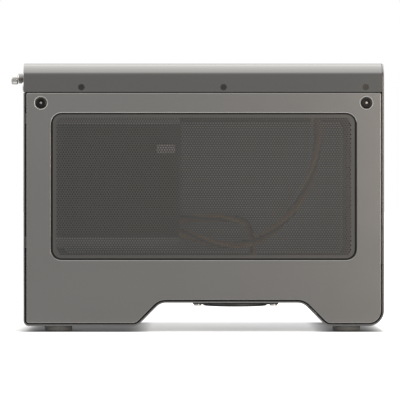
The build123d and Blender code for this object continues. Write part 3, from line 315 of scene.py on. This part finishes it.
# Side panels: aluminium plates set into the wrap, anodised like it, and painted black on the inside as shade.
# Their rounded edges carry a painted highlight, brightest on the window's top edge, with painted shade on the
# window's side edges, and the rims of the screw dimples carry a pale, matt painted highlight.
BODY_MIDDLE = 0.0060
SCREW_REACH = 0.1525
SCREW_HEIGHT = 0.2146
RING_RADIUS = 0.0064
RING_HIGHLIGHT = (0.62, 0.61, 0.59)
OUTER_FACE = 0.07847
INSIDE_FACE = 0.0778
EDGE_HIGHLIGHT = (0.27, 0.266, 0.258)
WINDOW_REACH = 0.1445
WINDOW_SIDE_SHADE = (0.085, 0.084, 0.082)
SIDEWAYS = 0.3
TOP_EDGE_HIGHLIGHT = (0.85, 0.84, 0.82)
HIGHLIGHT_HEIGHT = 0.15
DOWNWARD = -0.1
panel_skin = new_finish("anodised_panel", SKIN, SKIN_METAL, 0.22)
panel_colour = add_mottle(panel_skin, SKIN, SKIN_LIGHT, 14.0)
add_patchy_gloss(panel_skin, 0.205, 0.235, 40.0)
add_grain(panel_skin, 2600.0, 0.00002)
panel = panel_skin.node_tree
panel_shader = panel.nodes["Principled BSDF"]
panel_place = along_axes(panel)
panel_facing = along_axes(panel, "Normal")
from_middle = steps_in_a_row(panel, panel_place["X"], ("SUBTRACT", BODY_MIDDLE), ("ABSOLUTE", 0))
from_plane = reckon(panel, "ABSOLUTE", panel_place["Y"])
sideways = steps_in_a_row(panel, panel_facing["X"], ("ABSOLUTE", 0), ("GREATER_THAN", SIDEWAYS))
at_window = reckon(panel, "LESS_THAN", from_middle, WINDOW_REACH)
# Painted light on the rounded edges: a highlight colour, with painted shade on the window's side edges.
edge_light_and_shade = blend(panel, reckon(panel, "MULTIPLY", sideways, at_window), EDGE_HIGHLIGHT, WINDOW_SIDE_SHADE)
# Painted highlight on the window's top edge, which faces down.
downward = reckon(panel, "LESS_THAN", panel_facing["Z"], DOWNWARD)
high_up = reckon(panel, "GREATER_THAN", panel_place["Z"], HIGHLIGHT_HEIGHT)
edge_light_and_shade = blend(panel, reckon(panel, "MULTIPLY", downward, high_up), edge_light_and_shade, TOP_EDGE_HIGHLIGHT)
at_edge = reckon(panel, "LESS_THAN", from_plane, OUTER_FACE)
panel_colour = blend(panel, at_edge, panel_colour, edge_light_and_shade)
# Painted shade: faces sunk below the inside face are drawn black.
panel_colour = blend(panel, reckon(panel, "LESS_THAN", from_plane, INSIDE_FACE), panel_colour, BLACK)
# Painted highlight: a pale, matt ring round each screw dimple.
along = steps_in_a_row(panel, from_middle, ("SUBTRACT", SCREW_REACH), ("POWER", 2))
above = steps_in_a_row(panel, panel_place["Z"], ("SUBTRACT", SCREW_HEIGHT), ("POWER", 2))
in_ring = reckon(panel, "LESS_THAN", reckon(panel, "ADD", along, above), RING_RADIUS ** 2)
panel.links.new(blend(panel, in_ring, panel_colour, RING_HIGHLIGHT), panel_shader.inputs["Base Color"])
panel_metal = steps_in_a_row(panel, in_ring, ("MULTIPLY", -SKIN_METAL), ("ADD", SKIN_METAL))
panel.links.new(panel_metal, panel_shader.inputs["Metallic"])
dress(panel_skin, "side_panel_right", "side_panel_left")

# Inner steelwork: folded sheet. The frame under the hood and the hood's runners are painted black, which also
# stands in for the shade in the seam below the hood, and the board tray, the bracket, the ledge and the slot
# covers are zinc plated.
black_steel = new_finish("black_steel", (0.020, 0.020, 0.020), 0.0, 0.5)
add_grain(black_steel, 1600.0, 0.00003)
dress(black_steel, "top_frame", "hood_runner_right", "hood_runner_left")
zinc = new_finish("zinc_plate", (0.44, 0.44, 0.43), 1.0, 0.42)
add_mottle(zinc, (0.40, 0.40, 0.39), (0.48, 0.48, 0.46), 60.0)
add_patchy_gloss(zinc, 0.34, 0.5, 120.0)
dress(zinc, "board_tray", "slot_ledge", "front_fan_bracket", "slot_cover_1", "slot_cover_2")

# Main board and what it carries: green lacquered glass fibre on brass stand-offs, a finned heat
# sink, capacitors in bare cans, and moulded sockets.
lacquer = new_finish("green_lacquer", (0.02, 0.075, 0.035), 0.0, 0.35)
add_mottle(lacquer, (0.016, 0.062, 0.029), (0.030, 0.10, 0.048), 300.0)
dress(lacquer, "main_board", "psu_circuit_board")
aluminium = new_finish("bare_aluminium", (0.6, 0.61, 0.62), 1.0, 0.35)
add_patchy_gloss(aluminium, 0.28, 0.42, 200.0)
dress(aluminium, "controller_heatsink", "board_capacitors")
brass = new_finish("brass", (0.62, 0.46, 0.17), 1.0, 0.3)
add_patchy_gloss(brass, 0.24, 0.38, 400.0)
dress(brass, "board_standoffs")
plastic = new_finish("black_plastic", (0.02, 0.02, 0.02), 0.0, 0.45)
add_grain(plastic, 1400.0, 0.00003)
dress(plastic, "card_slot", "power_header", "board_power_plug", "card_power_plug", "cable_clip")

# Power supply: a black steel case and a plain grey cover lapped over its edges, with a bare pale
# sticker on the case. The mains socket and the switch are moulded plastic.
LABEL_SIZE = (0.017, 0.0082)
LABEL_MIDDLE = (-0.0295, -0.07445, 0.1711)
LABEL_SHEET = 0.0001
LABEL_CORNER = 0.001
black_sheet = new_finish("black_sheet", (0.011, 0.011, 0.011), 0.0, 0.5)
add_grain(black_sheet, 1600.0, 0.00003)
dress(black_sheet, "psu_case")
grey_sheet = new_finish("grey_sheet", (0.38, 0.38, 0.372), 1.0, 0.5)
add_mottle(grey_sheet, (0.36, 0.36, 0.352), (0.40, 0.40, 0.392), 50.0)
dress(grey_sheet, "psu_cover")
dress(plastic, "mains_inlet", "switch_bezel", "switch_rocker")


def new_piece(name, shape, finishes, body, slot, *replaced):
    """Makes a finished shape a piece that rides on a body."""
    mesh = bpy.data.meshes.new(name)
    shape.to_mesh(mesh)
    shape.free()
    for finish in finishes:
        mesh.materials.append(finish)
    piece = bpy.data.objects.new(name, mesh)
    bpy.context.scene.collection.objects.link(piece)
    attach(piece, body)
    if replaced:
        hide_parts(*replaced)
    return piece


def smooth_over(piece, degrees):
    """Shades a piece smooth, with creases where faces meet at more than an angle."""
    piece.data.polygons.foreach_set("use_smooth", [True] * len(piece.data.polygons))
    piece.data.set_sharp_from_angle(angle=math.radians(degrees))


def plate(width, height, thickness, corner):
    """A thin plate with round corners that faces -Y, standing on the origin's X and Z."""
    shape = bmesh.new()
    bmesh.ops.create_cube(shape, size=1.0)
    bmesh.ops.scale(shape, verts=shape.verts, vec=(width, thickness, height))
    uprights = [edge for edge in shape.edges if abs(edge.verts[0].co.y - edge.verts[1].co.y) > thickness / 2]
    bmesh.ops.bevel(shape, geom=uprights, offset=corner, segments=5, profile=0.5, affect="EDGES", material=-1)
    return shape


foil = new_finish("pale_foil", (0.86, 0.85, 0.83), 0.0, 0.5)
add_mottle(foil, (0.84, 0.83, 0.81), (0.89, 0.88, 0.86), 400.0)
label = plate(*LABEL_SIZE, LABEL_SHEET, LABEL_CORNER)
bmesh.ops.translate(label, verts=label.verts, vec=LABEL_MIDDLE)
new_piece("psu_label", label, [foil], "chassis", "aluminium")

# Fans: moulded black frames with curved blades. A wire guard covers the one under the arch.
blade_plastic = new_finish("fan_plastic", (0.026, 0.026, 0.027), 0.0, 0.38)
add_grain(blade_plastic, 1100.0, 0.00003)
dress(plastic, "psu_fan_frame", "front_fan_frame", "bottom_fan_frame")
dress(blade_plastic, "psu_fan_rotor", "front_fan_rotor", "bottom_fan_rotor")
guard_paint = new_finish("black_wire", (0.03, 0.03, 0.03), 0.0, 0.4)
add_grain(guard_paint, 1500.0, 0.00003)
dress(guard_paint, "bottom_fan_guard")

# Cables: two bundles of seven insulated wires that run from the power supply, one to the main board
# and one up the front and back to the plug for the card.
WIRE_RADIUS = 0.00131
BUNDLE_RADIUS = 0.004
BUNDLE_TURN = 0.13
WIRE_COLOURS = (("black", (0.022, 0.021, 0.020)), ("brown", (0.36, 0.17, 0.075)),
                ("ochre", (0.62, 0.38, 0.13)))
WIRE_DARKER = 0.8
MIDDLE_WIRE = 0
OUTER_WIRES = (1, 2, 0, 1, 2, 0)
CARD_ROUTE = ((-0.0172, -0.066, 0.0940), (0.0168, -0.066, 0.0800), (0.0533, -0.066, 0.0820),
              (0.0860, -0.066, 0.1060), (0.1080, -0.066, 0.1430), (0.1150, -0.066, 0.1850),
              (0.1075, -0.066, 0.2130), (0.0900, -0.066, 0.2174), (0.0800, -0.066, 0.2174),
              (0.0680, -0.066, 0.2174))
BOARD_ROUTE = ((-0.0172, -0.0262, 0.1050), (0.0090, -0.0262, 0.1075), (0.0360, -0.0120, 0.1060),
               (0.0540, 0.0200, 0.0990), (0.0540, 0.0200, 0.0686))


def smooth_line(name, route):
    """The points of one smooth line that the route's points steer."""
    curve = bpy.data.curves.new(name, "CURVE")
    curve.dimensions = "3D"
    spline = curve.splines.new("NURBS")
    spline.points.add(len(route) - 1)
    for point, place in zip(spline.points, route):
        point.co = (*place, 1)
    spline.order_u = 3
    spline.use_endpoint_u = True
    spline.resolution_u = 12
    holder = bpy.data.objects.new(name, curve)
    bpy.context.scene.collection.objects.link(holder)
    bpy.context.view_layer.update()
    drawn = bpy.data.meshes.new_from_object(holder)
    line = [vert.co.copy() for vert in drawn.vertices]
    bpy.data.objects.remove(holder)
    bpy.data.meshes.remove(drawn)
    return line


def wire_along(line, spread, start_turn, material, bundle):
    """Adds one round wire to the bundle's shape, which winds slowly about the line."""
    curve = bpy.data.curves.new("wire", "CURVE")
    curve.dimensions = "3D"
    curve.bevel_depth = WIRE_RADIUS
    curve.bevel_resolution = 1
    curve.use_fill_caps = True
    spline = curve.splines.new("POLY")
    spline.points.add(len(line) - 1)
    side = Vector((0, 1, 0))
    gone = 0.0
    for count, point in enumerate(spline.points):
        before, after = line[max(count - 1, 0)], line[min(count + 1, len(line) - 1)]
        ahead = (after - before).normalized()
        side = (side - ahead * side.dot(ahead)).normalized()
        gone += (line[count] - before).length
        turn = start_turn + gone / BUNDLE_TURN * 2 * math.pi
        place = line[count] + (side * math.cos(turn) + ahead.cross(side) * math.sin(turn)) * spread
        point.co = (*place, 1)
    holder = bpy.data.objects.new("wire", curve)
    bpy.context.scene.collection.objects.link(holder)
    bpy.context.view_layer.update()
    drawn = bpy.data.meshes.new_from_object(holder)
    known = len(bundle.faces)
    bundle.from_mesh(drawn)
    bundle.faces.ensure_lookup_table()
    for face in bundle.faces[known:]:
        face.material_index = material
        face.smooth = True
    bpy.data.objects.remove(holder)
    bpy.data.meshes.remove(drawn)


wire_finishes = []
for colour_name, colour in WIRE_COLOURS:
    wire_finish = new_finish(f"{colour_name}_insulation", colour, 0.0, 0.45)
    darker = tuple(channel * WIRE_DARKER for channel in colour)
    add_mottle(wire_finish, darker, colour, 500.0)
    wire_finishes.append(wire_finish)
for node, plug, route in (("card_power_cable", "card_power_plug", CARD_ROUTE),
                          ("board_power_cable", "board_power_plug", BOARD_ROUTE)):
    line = smooth_line(f"{node}_line", route)
    bundle = bmesh.new()
    wire_along(line, 0.0, 0.0, MIDDLE_WIRE, bundle)
    for count, material in enumerate(OUTER_WIRES):
        start_turn = math.radians(60 * count)
        wire_along(line, BUNDLE_RADIUS - WIRE_RADIUS, start_turn, material, bundle)
    piece = new_piece(f"{node}_wires", bundle, wire_finishes, "chassis", "sleeving", node)

# Perforated sheets: pressed trays behind the windows, punched with a fine staggered pattern, in a darker
# satin paint, with their edges and flanges painted black as the shade in the gap round each window. A sheet,
# black outside and grey inside, backs the left-hand one as painted shade that keeps its holes dark.
HOLE_PITCH = 0.0024
HOLE_WEB = 0.00054
TRAY_SHEET = 0.0008
TRAY_EDGE = 0.0006
TRAY_MARGIN = 0.0035
FLANGE = 0.005
WINDOW = (0.284, 0.136)
WINDOW_BEND = 0.009
SIDE_DEPTH = 0.0014
FRONT_WINDOW = (0.118, 0.136)
FRONT_DEPTH = 0.0010
CORNER_CUTS = 6
SCREEN_SHEET = 0.0003
SCREEN_GAP = 0.0004
SCREEN_INSET = 0.0015
mesh_paint = new_finish("mesh_paint", (0.096, 0.095, 0.092), 0.7, 0.45)
add_mottle(mesh_paint, (0.093, 0.092, 0.089), (0.099, 0.098, 0.095), 20.0)
add_grain(mesh_paint, 3000.0, 0.00001)
# Painted shade: the tray's edges, walls and flange are drawn black so the gap round the window reads dark.
gap_shade_paint = new_finish("gap_shade_paint", BLACK, 0.0, 0.7)
add_grain(gap_shade_paint, 3000.0, 0.00002)
shade_screen_black = new_finish("shade_screen_black", BLACK, 0.0, 0.9)
add_grain(shade_screen_black, 5000.0, 0.00001)
grey_lining = new_finish("grey_lining", (0.42, 0.417, 0.41), 0.0, 0.9)
add_grain(grey_lining, 2000.0, 0.00002)


def hexagon_sheet(width, height):
    """A flat sheet of joined hexagons, standing in X and Z, a little larger than asked."""
    rise = HOLE_PITCH * math.sqrt(3) / 2
    columns = int(width / HOLE_PITCH) + 4
    rows = int(height / rise / 2) + 3
    cell_mesh = bpy.data.meshes.new("hexagon_cell")
    cell = bmesh.new()
    bmesh.ops.create_circle(cell, cap_ends=True, segments=6, radius=HOLE_PITCH / math.sqrt(3))
    bmesh.ops.rotate(cell, verts=cell.verts, cent=(0, 0, 0), matrix=Matrix.Rotation(math.pi / 2, 3, "X"))
    corner = Vector((-(columns - 0.5) * HOLE_PITCH / 2, 0, -(rows - 0.5) * rise))
    bmesh.ops.translate(cell, verts=cell.verts, vec=corner)
    cell.to_mesh(cell_mesh)
    cell.free()
    holder = bpy.data.objects.new("hexagon_cell", cell_mesh)
    bpy.context.scene.collection.objects.link(holder)
    steps = ((columns, (HOLE_PITCH, 0, 0)), (2, (HOLE_PITCH / 2, 0, rise)), (rows, (0, 0, 2 * rise)))
    for count, step in steps:
        array = holder.modifiers.new("repeat", "ARRAY")
        array.count = count
        array.use_relative_offset = False
        array.use_constant_offset = True
        array.constant_offset_displace = step
    weld = holder.modifiers.new("weld", "WELD")
    weld.merge_threshold = HOLE_PITCH * 0.02
    bpy.context.view_layer.update()
    drawn = holder.evaluated_get(bpy.context.evaluated_depsgraph_get())
    sheet = bmesh.new()
    sheet.from_mesh(drawn.data)
    bpy.data.objects.remove(holder)
    bpy.data.meshes.remove(cell_mesh)
    return sheet


def trim(sheet, point, outward):
    """Cuts away what lies beyond a plane."""
    everything = list(sheet.verts) + list(sheet.edges) + list(sheet.faces)
    bmesh.ops.bisect_plane(sheet, geom=everything, dist=1e-7, plane_co=point, plane_no=outward,
                           clear_outer=True)


def perforated_tray(width, height, depth):
    """The skin of a pressed tray whose punched field faces -Y at y = 0, with its flange behind."""
    half_x, half_z = width / 2 - TRAY_EDGE, height / 2 - TRAY_EDGE
    bend = WINDOW_BEND - TRAY_EDGE
    sheet = hexagon_sheet(width, height)
    for sign in (-1, 1):
        trim(sheet, (sign * half_x, 0, 0), (sign, 0, 0))
        trim(sheet, (0, 0, sign * half_z), (0, 0, sign))
    for sign_x in (-1, 1):
        for sign_z in (-1, 1):
            middle = Vector((sign_x * (half_x - bend), 0, sign_z * (half_z - bend)))
            for step in range(CORNER_CUTS):
                turn = math.radians(90 * (step + 0.5) / CORNER_CUTS)
                outward = Vector((sign_x * math.cos(turn), 0, sign_z * math.sin(turn)))
                trim(sheet, middle + outward * bend, outward)
    sheet.faces.ensure_lookup_table()
    if sheet.faces[0].normal.y > 0:
        bmesh.ops.reverse_faces(sheet, faces=sheet.faces)
    whole_cell = HOLE_PITCH ** 2 * math.sqrt(3) / 2 * 0.99
    inner_x, inner_z = half_x - TRAY_MARGIN, half_z - TRAY_MARGIN
    punched = []
    for face in sheet.faces:
        middle = face.calc_center_median()
        if face.calc_area() > whole_cell and abs(middle.x) < inner_x and abs(middle.z) < inner_z:
            past_x = max(0, abs(middle.x) - half_x + bend)
            past_z = max(0, abs(middle.z) - half_z + bend)
            if math.hypot(past_x, past_z) < bend - TRAY_MARGIN:
                punched.append(face)
    rim = [edge for edge in sheet.edges if edge.is_boundary]
    for depth_step, spread in ((TRAY_EDGE, TRAY_EDGE), (depth - TRAY_EDGE, 0.0), (0.0, FLANGE)):
        grown = bmesh.ops.extrude_edge_only(sheet, edges=rim)["geom"]
        rim = [part for part in grown if isinstance(part, bmesh.types.BMEdge) and part.is_boundary]
        ring = [part for part in grown if isinstance(part, bmesh.types.BMVert)]
        for part in grown:
            if isinstance(part, bmesh.types.BMFace):
                part.material_index = 1
        bmesh.ops.translate(sheet, verts=ring, vec=(0, depth_step, 0))
        bmesh.ops.scale(sheet, verts=ring, vec=(1 + spread / half_x, 1, 1 + spread / half_z))
        half_x, half_z = half_x + spread, half_z + spread
    bmesh.ops.inset_individual(sheet, faces=punched, thickness=HOLE_WEB, use_even_offset=True)
    bmesh.ops.delete(sheet, geom=punched, context="FACES")
    return sheet


def place_tray(name, sheet, matrix, parts, node):
    """Makes a tray's pieces, split into level bands of full thickness, where the CAD sheet is."""
    bmesh.ops.transform(sheet, matrix=matrix, verts=sheet.verts)
    low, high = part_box(node)
    cuts = [low.z + (high.z - low.z) * part / parts for part in range(1, parts)]
    limits = [-math.inf, *cuts, math.inf]
    for number, (under, over) in enumerate(zip(limits, limits[1:]), 1):
        band = sheet.copy()
        outside = [face for face in band.faces if not under <= face.calc_center_median().z < over]
        bmesh.ops.delete(band, geom=outside, context="FACES")
        bmesh.ops.solidify(band, geom=band.faces[:], thickness=TRAY_SHEET)
        new_piece(f"{name}_{number}", band, [mesh_paint, gap_shade_paint], "chassis", "mesh", node)
    sheet.free()


for node, turn in (("side_mesh_right", 0.0), ("side_mesh_left", 180.0)):
    low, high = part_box(node)
    middle = (low + high) / 2
    outside = Vector((middle.x, low.y if turn == 0 else high.y, middle.z))
    tray = perforated_tray(*WINDOW, SIDE_DEPTH)
    place = Matrix.Translation(outside) @ Matrix.Rotation(math.radians(turn), 4, "Z")
    place_tray(f"{node}_sheet", tray, place, 2, node)
# Painted shade: a thin sheet, black towards the tray, behind the left-hand tray keeps its holes dark.
shade_screen = plate(WINDOW[0] - 2 * SCREEN_INSET, WINDOW[1] - 2 * SCREEN_INSET, SCREEN_SHEET, WINDOW_BEND - SCREEN_INSET)
bmesh.ops.translate(shade_screen, verts=shade_screen.verts, vec=outside - Vector((0, TRAY_SHEET + SCREEN_GAP, 0)))
for face in shade_screen.faces:
    face.material_index = 1 if face.normal.y < -0.5 else 0
new_piece("side_mesh_left_shade_screen", shade_screen, [shade_screen_black, grey_lining], "chassis", "black_plastic")
low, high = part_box("front_mesh")
middle = (low + high) / 2
tray = perforated_tray(*FRONT_WINDOW, FRONT_DEPTH)
place = Matrix.Translation((high.x, middle.y, middle.z)) @ Matrix.Rotation(math.radians(90), 4, "Z")
place_tray("front_mesh_sheet", tray, place, 1, "front_mesh")


# Panel screws: blackened button heads that sit in the panels' dimples. Each has a deep hex socket
# with a bright pin in its middle.
def lathe(profile, steps):
    """A shape turned about Z from a short line of (radius, height) points."""
    shape = bmesh.new()
    line = [shape.verts.new((radius, 0, height)) for radius, height in profile]
    edges = [shape.edges.new(pair) for pair in zip(line, line[1:])]
    bmesh.ops.spin(shape, geom=line + edges, cent=(0, 0, 0), axis=(0, 0, 1), angle=2 * math.pi, steps=steps,
                   use_merge=True)
    bmesh.ops.remove_doubles(shape, verts=shape.verts, dist=1e-6)
    return shape


def add_copy(shape, part, matrix):
    """Adds a copy of a part to a shape, moved by a matrix."""
    held = bpy.data.meshes.new("copy")
    part.to_mesh(held)
    held.transform(matrix)
    shape.from_mesh(held)
    bpy.data.meshes.remove(held)


HEAD_RADIUS = 0.0055
HEAD_HEIGHT = 0.0016
SOCKET_RADIUS = 0.0031
SOCKET_SINK = 0.0001
SOCKET_FLOOR = 0.00005
BRIGHT_STEEL = (0.58, 0.57, 0.55)
head = lathe(((0.0, 0.0), (HEAD_RADIUS, 0.0), (HEAD_RADIUS, 0.0007), (0.0053, 0.0011), (0.0047, 0.0014),
              (0.0040, 0.00155), (0.0036, HEAD_HEIGHT)), 36)
lip = [edge for edge in head.edges if edge.is_boundary]
socket = bmesh.ops.create_circle(head, segments=6, radius=SOCKET_RADIUS)["verts"]
bmesh.ops.translate(head, verts=socket, vec=(0, 0, HEAD_HEIGHT - SOCKET_SINK))
mouth = [edge for edge in head.edges if edge.is_wire]
bmesh.ops.bridge_loops(head, edges=lip + mouth)
walls = bmesh.ops.extrude_edge_only(head, edges=mouth)["geom"]
bottom = [part for part in walls if isinstance(part, bmesh.types.BMVert)]
bmesh.ops.translate(head, verts=bottom, vec=(0, 0, SOCKET_FLOOR + SOCKET_SINK - HEAD_HEIGHT))
bmesh.ops.edgeloop_fill(head, edges=[edge for edge in head.edges if edge.is_boundary])
bmesh.ops.recalc_face_normals(head, faces=head.faces)
pin = lathe(((0.0012, 0.0001), (0.0012, 0.0010), (0.0010, 0.0012), (0.0, 0.00125)), 16)
bmesh.ops.edgeloop_fill(pin, edges=[edge for edge in pin.edges if edge.is_boundary])
bmesh.ops.recalc_face_normals(pin, faces=pin.faces)
for face in pin.faces:
    face.material_index = 1
add_copy(head, pin, Matrix())
pin.free()
low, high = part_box("panel_screws")
screws = bmesh.new()
for screw_x in (low.x + HEAD_RADIUS, high.x - HEAD_RADIUS):
    for seat_y, turn in ((low.y + HEAD_HEIGHT, 90), (high.y - HEAD_HEIGHT, -90)):
        seat = Matrix.Translation((screw_x, seat_y, (low.z + high.z) / 2))
        add_copy(screws, head, seat @ Matrix.Rotation(math.radians(turn), 4, "X"))
head.free()
black_screw = new_finish("blackened_screw", (0.032, 0.031, 0.030), 1.0, 0.34)
add_patchy_gloss(black_screw, 0.28, 0.42, 900.0)
bright = new_finish("bright_plate", BRIGHT_STEEL, 1.0, 0.28)
add_patchy_gloss(bright, 0.22, 0.36, 500.0)
heads = new_piece("panel_screw_heads", screws, [black_screw, bright], "chassis", "black_metal",
                  "panel_screws")
smooth_over(heads, 30)
dress(black_screw, "front_fan_screws")
dress(bright, "psu_screws", "slot_cover_screws", "bottom_fan_screws", "mains_pins")

# Host port: a drawn steel shell in the rear wall, with a black moulding and a tongue of contacts
# inside its mouth.
PORT_MOUTH = -0.1628
port_shell = new_finish("port_shell", BRIGHT_STEEL, 1.0, 0.28)
port = port_shell.node_tree
port_inside = reckon(port, "GREATER_THAN", along_axes(port)["X"], PORT_MOUTH)
port_colour = blend(port, port_inside, BRIGHT_STEEL, BLACK)
port.links.new(port_colour, port.nodes["Principled BSDF"].inputs["Base Color"])
dress(port_shell, "host_port")

# Hood: one rolled aluminium cover, smoother than the panels, open below and in front. It slides off
# to the rear once the two thumbscrews are loose, and small flush screws hold its runners.
HOOD_SKIN = (0.245, 0.238, 0.229)
HOOD_LIGHT = (0.259, 0.252, 0.243)
hood_skin = new_finish("anodised_hood", HOOD_SKIN, 1.0, 0.12)
add_mottle(hood_skin, HOOD_SKIN, HOOD_LIGHT, 14.0)
add_patchy_gloss(hood_skin, 0.11, 0.135, 40.0)
add_grain(hood_skin, 2600.0, 0.00001)
dress(hood_skin, "hood")
flush_screw = new_finish("flush_screw", (0.075, 0.074, 0.072), 1.0, 0.3)
add_patchy_gloss(flush_screw, 0.26, 0.36, 900.0)
dress(flush_screw, "hood_screws")

# Thumbscrews: turned steel, bright plated, each with a knurled head, a coin slot and a bare neck
# that runs through its ferrule into the frame's tab.
KNURL_TEETH = 44
KNURL_ROWS = 6
THUMB_RADIUS = 0.0055
THUMB_HEAD = 0.0058
RIM_SHRINK = 0.90
VALLEY_SHRINK = 0.93
FACE_INSET = 0.0007
SLOT_HALF = 0.0006
SLOT_DEPTH = 0.0011
NEAR_AXIS = 0.0002
COLLAR_RADIUS = 0.0030
COLLAR = (THUMB_HEAD - 0.0005, THUMB_HEAD + 0.0007)
NECK_RADIUS = 0.0020
NECK_TAPER = 0.0004
thumb = bmesh.new()
bmesh.ops.create_cone(thumb, cap_ends=True, cap_tris=False, segments=KNURL_TEETH, radius1=THUMB_RADIUS,
                      radius2=THUMB_RADIUS, depth=THUMB_HEAD)
bmesh.ops.translate(thumb, verts=thumb.verts, vec=(0, 0, THUMB_HEAD / 2))
flutes = [edge for edge in thumb.edges if abs(edge.verts[0].co.z - edge.verts[1].co.z) > THUMB_HEAD / 2]
bmesh.ops.subdivide_edges(thumb, edges=flutes, cuts=KNURL_ROWS, use_grid_fill=True)
for vert in thumb.verts:
    row = round(vert.co.z / THUMB_HEAD * (KNURL_ROWS + 1))
    tooth = round(math.atan2(vert.co.y, vert.co.x) / (2 * math.pi) * KNURL_TEETH)
    if row in (0, KNURL_ROWS + 1):
        shrink = RIM_SHRINK
    else:
        shrink = 1.0 if (row + tooth) % 2 else VALLEY_SHRINK
    vert.co.x *= shrink
    vert.co.y *= shrink
end = min(thumb.faces, key=lambda face: face.calc_center_median().z)
bmesh.ops.inset_region(thumb, faces=[end], thickness=FACE_INSET)
for side in (-1, 1):
    flat = [face for face in thumb.faces if face.calc_center_median().z < 1e-6 and len(face.verts) > 4]
    parts = set(flat)
    for face in flat:
        parts.update(face.edges)
        parts.update(face.verts)
    bmesh.ops.bisect_plane(thumb, geom=list(parts), dist=1e-7, plane_co=(0, side * SLOT_HALF, 0),
                           plane_no=(0, 1, 0))
strip = [face for face in thumb.faces
         if face.calc_center_median().length < NEAR_AXIS and abs(face.calc_center_median().z) < 1e-6]
bmesh.ops.inset_individual(thumb, faces=strip, thickness=0.0, depth=-SLOT_DEPTH)
bmesh.ops.recalc_face_normals(thumb, faces=thumb.faces)
low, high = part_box("thumbscrew_right")
reach = high.x - low.x
stem = lathe(((0.0, COLLAR[0]), (COLLAR_RADIUS, COLLAR[0]), (COLLAR_RADIUS, COLLAR[1]),
              (NECK_RADIUS, COLLAR[1]), (NECK_RADIUS, reach - NECK_TAPER),
              (NECK_RADIUS - NECK_TAPER, reach), (0.0, reach)), 20)
bmesh.ops.recalc_face_normals(stem, faces=stem.faces)
add_copy(thumb, stem, Matrix())
stem.free()
thumb_steel = new_finish("thumbscrew_plate", (0.80, 0.79, 0.77), 1.0, 0.40)
add_patchy_gloss(thumb_steel, 0.26, 0.38, 500.0)
for node in ("thumbscrew_right", "thumbscrew_left"):
    low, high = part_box(node)
    middle = (low + high) / 2
    turned = bmesh.new()
    place = Matrix.Translation((low.x, middle.y, middle.z)) @ Matrix.Rotation(math.radians(90), 4, "Y")
    add_copy(turned, thumb, place)
    smooth_over(new_piece(f"{node}_knurled", turned, [thumb_steel], node, "bright_steel", node), 20)
thumb.free()
ferrule_steel = new_finish("dark_ferrule", (0.24, 0.235, 0.226), 1.0, 0.4)
add_patchy_gloss(ferrule_steel, 0.34, 0.46, 600.0)
dress(ferrule_steel, "thumbscrew_ferrules")

# Feet: four round pads of dark rubber, glued under the corners.
rubber = new_finish("foot_rubber", (0.21, 0.208, 0.203), 0.0, 0.75)
add_grain(rubber, 1800.0, 0.00006)
dress(rubber, "foot_front_right", "foot_front_left", "foot_rear_right", "foot_rear_left")

# Power light: a small clear lens pressed into the front wall.
lens = new_finish("clear_lens", (0.8, 0.84, 0.88), 0.0, 0.1)
dress(lens, "power_light")
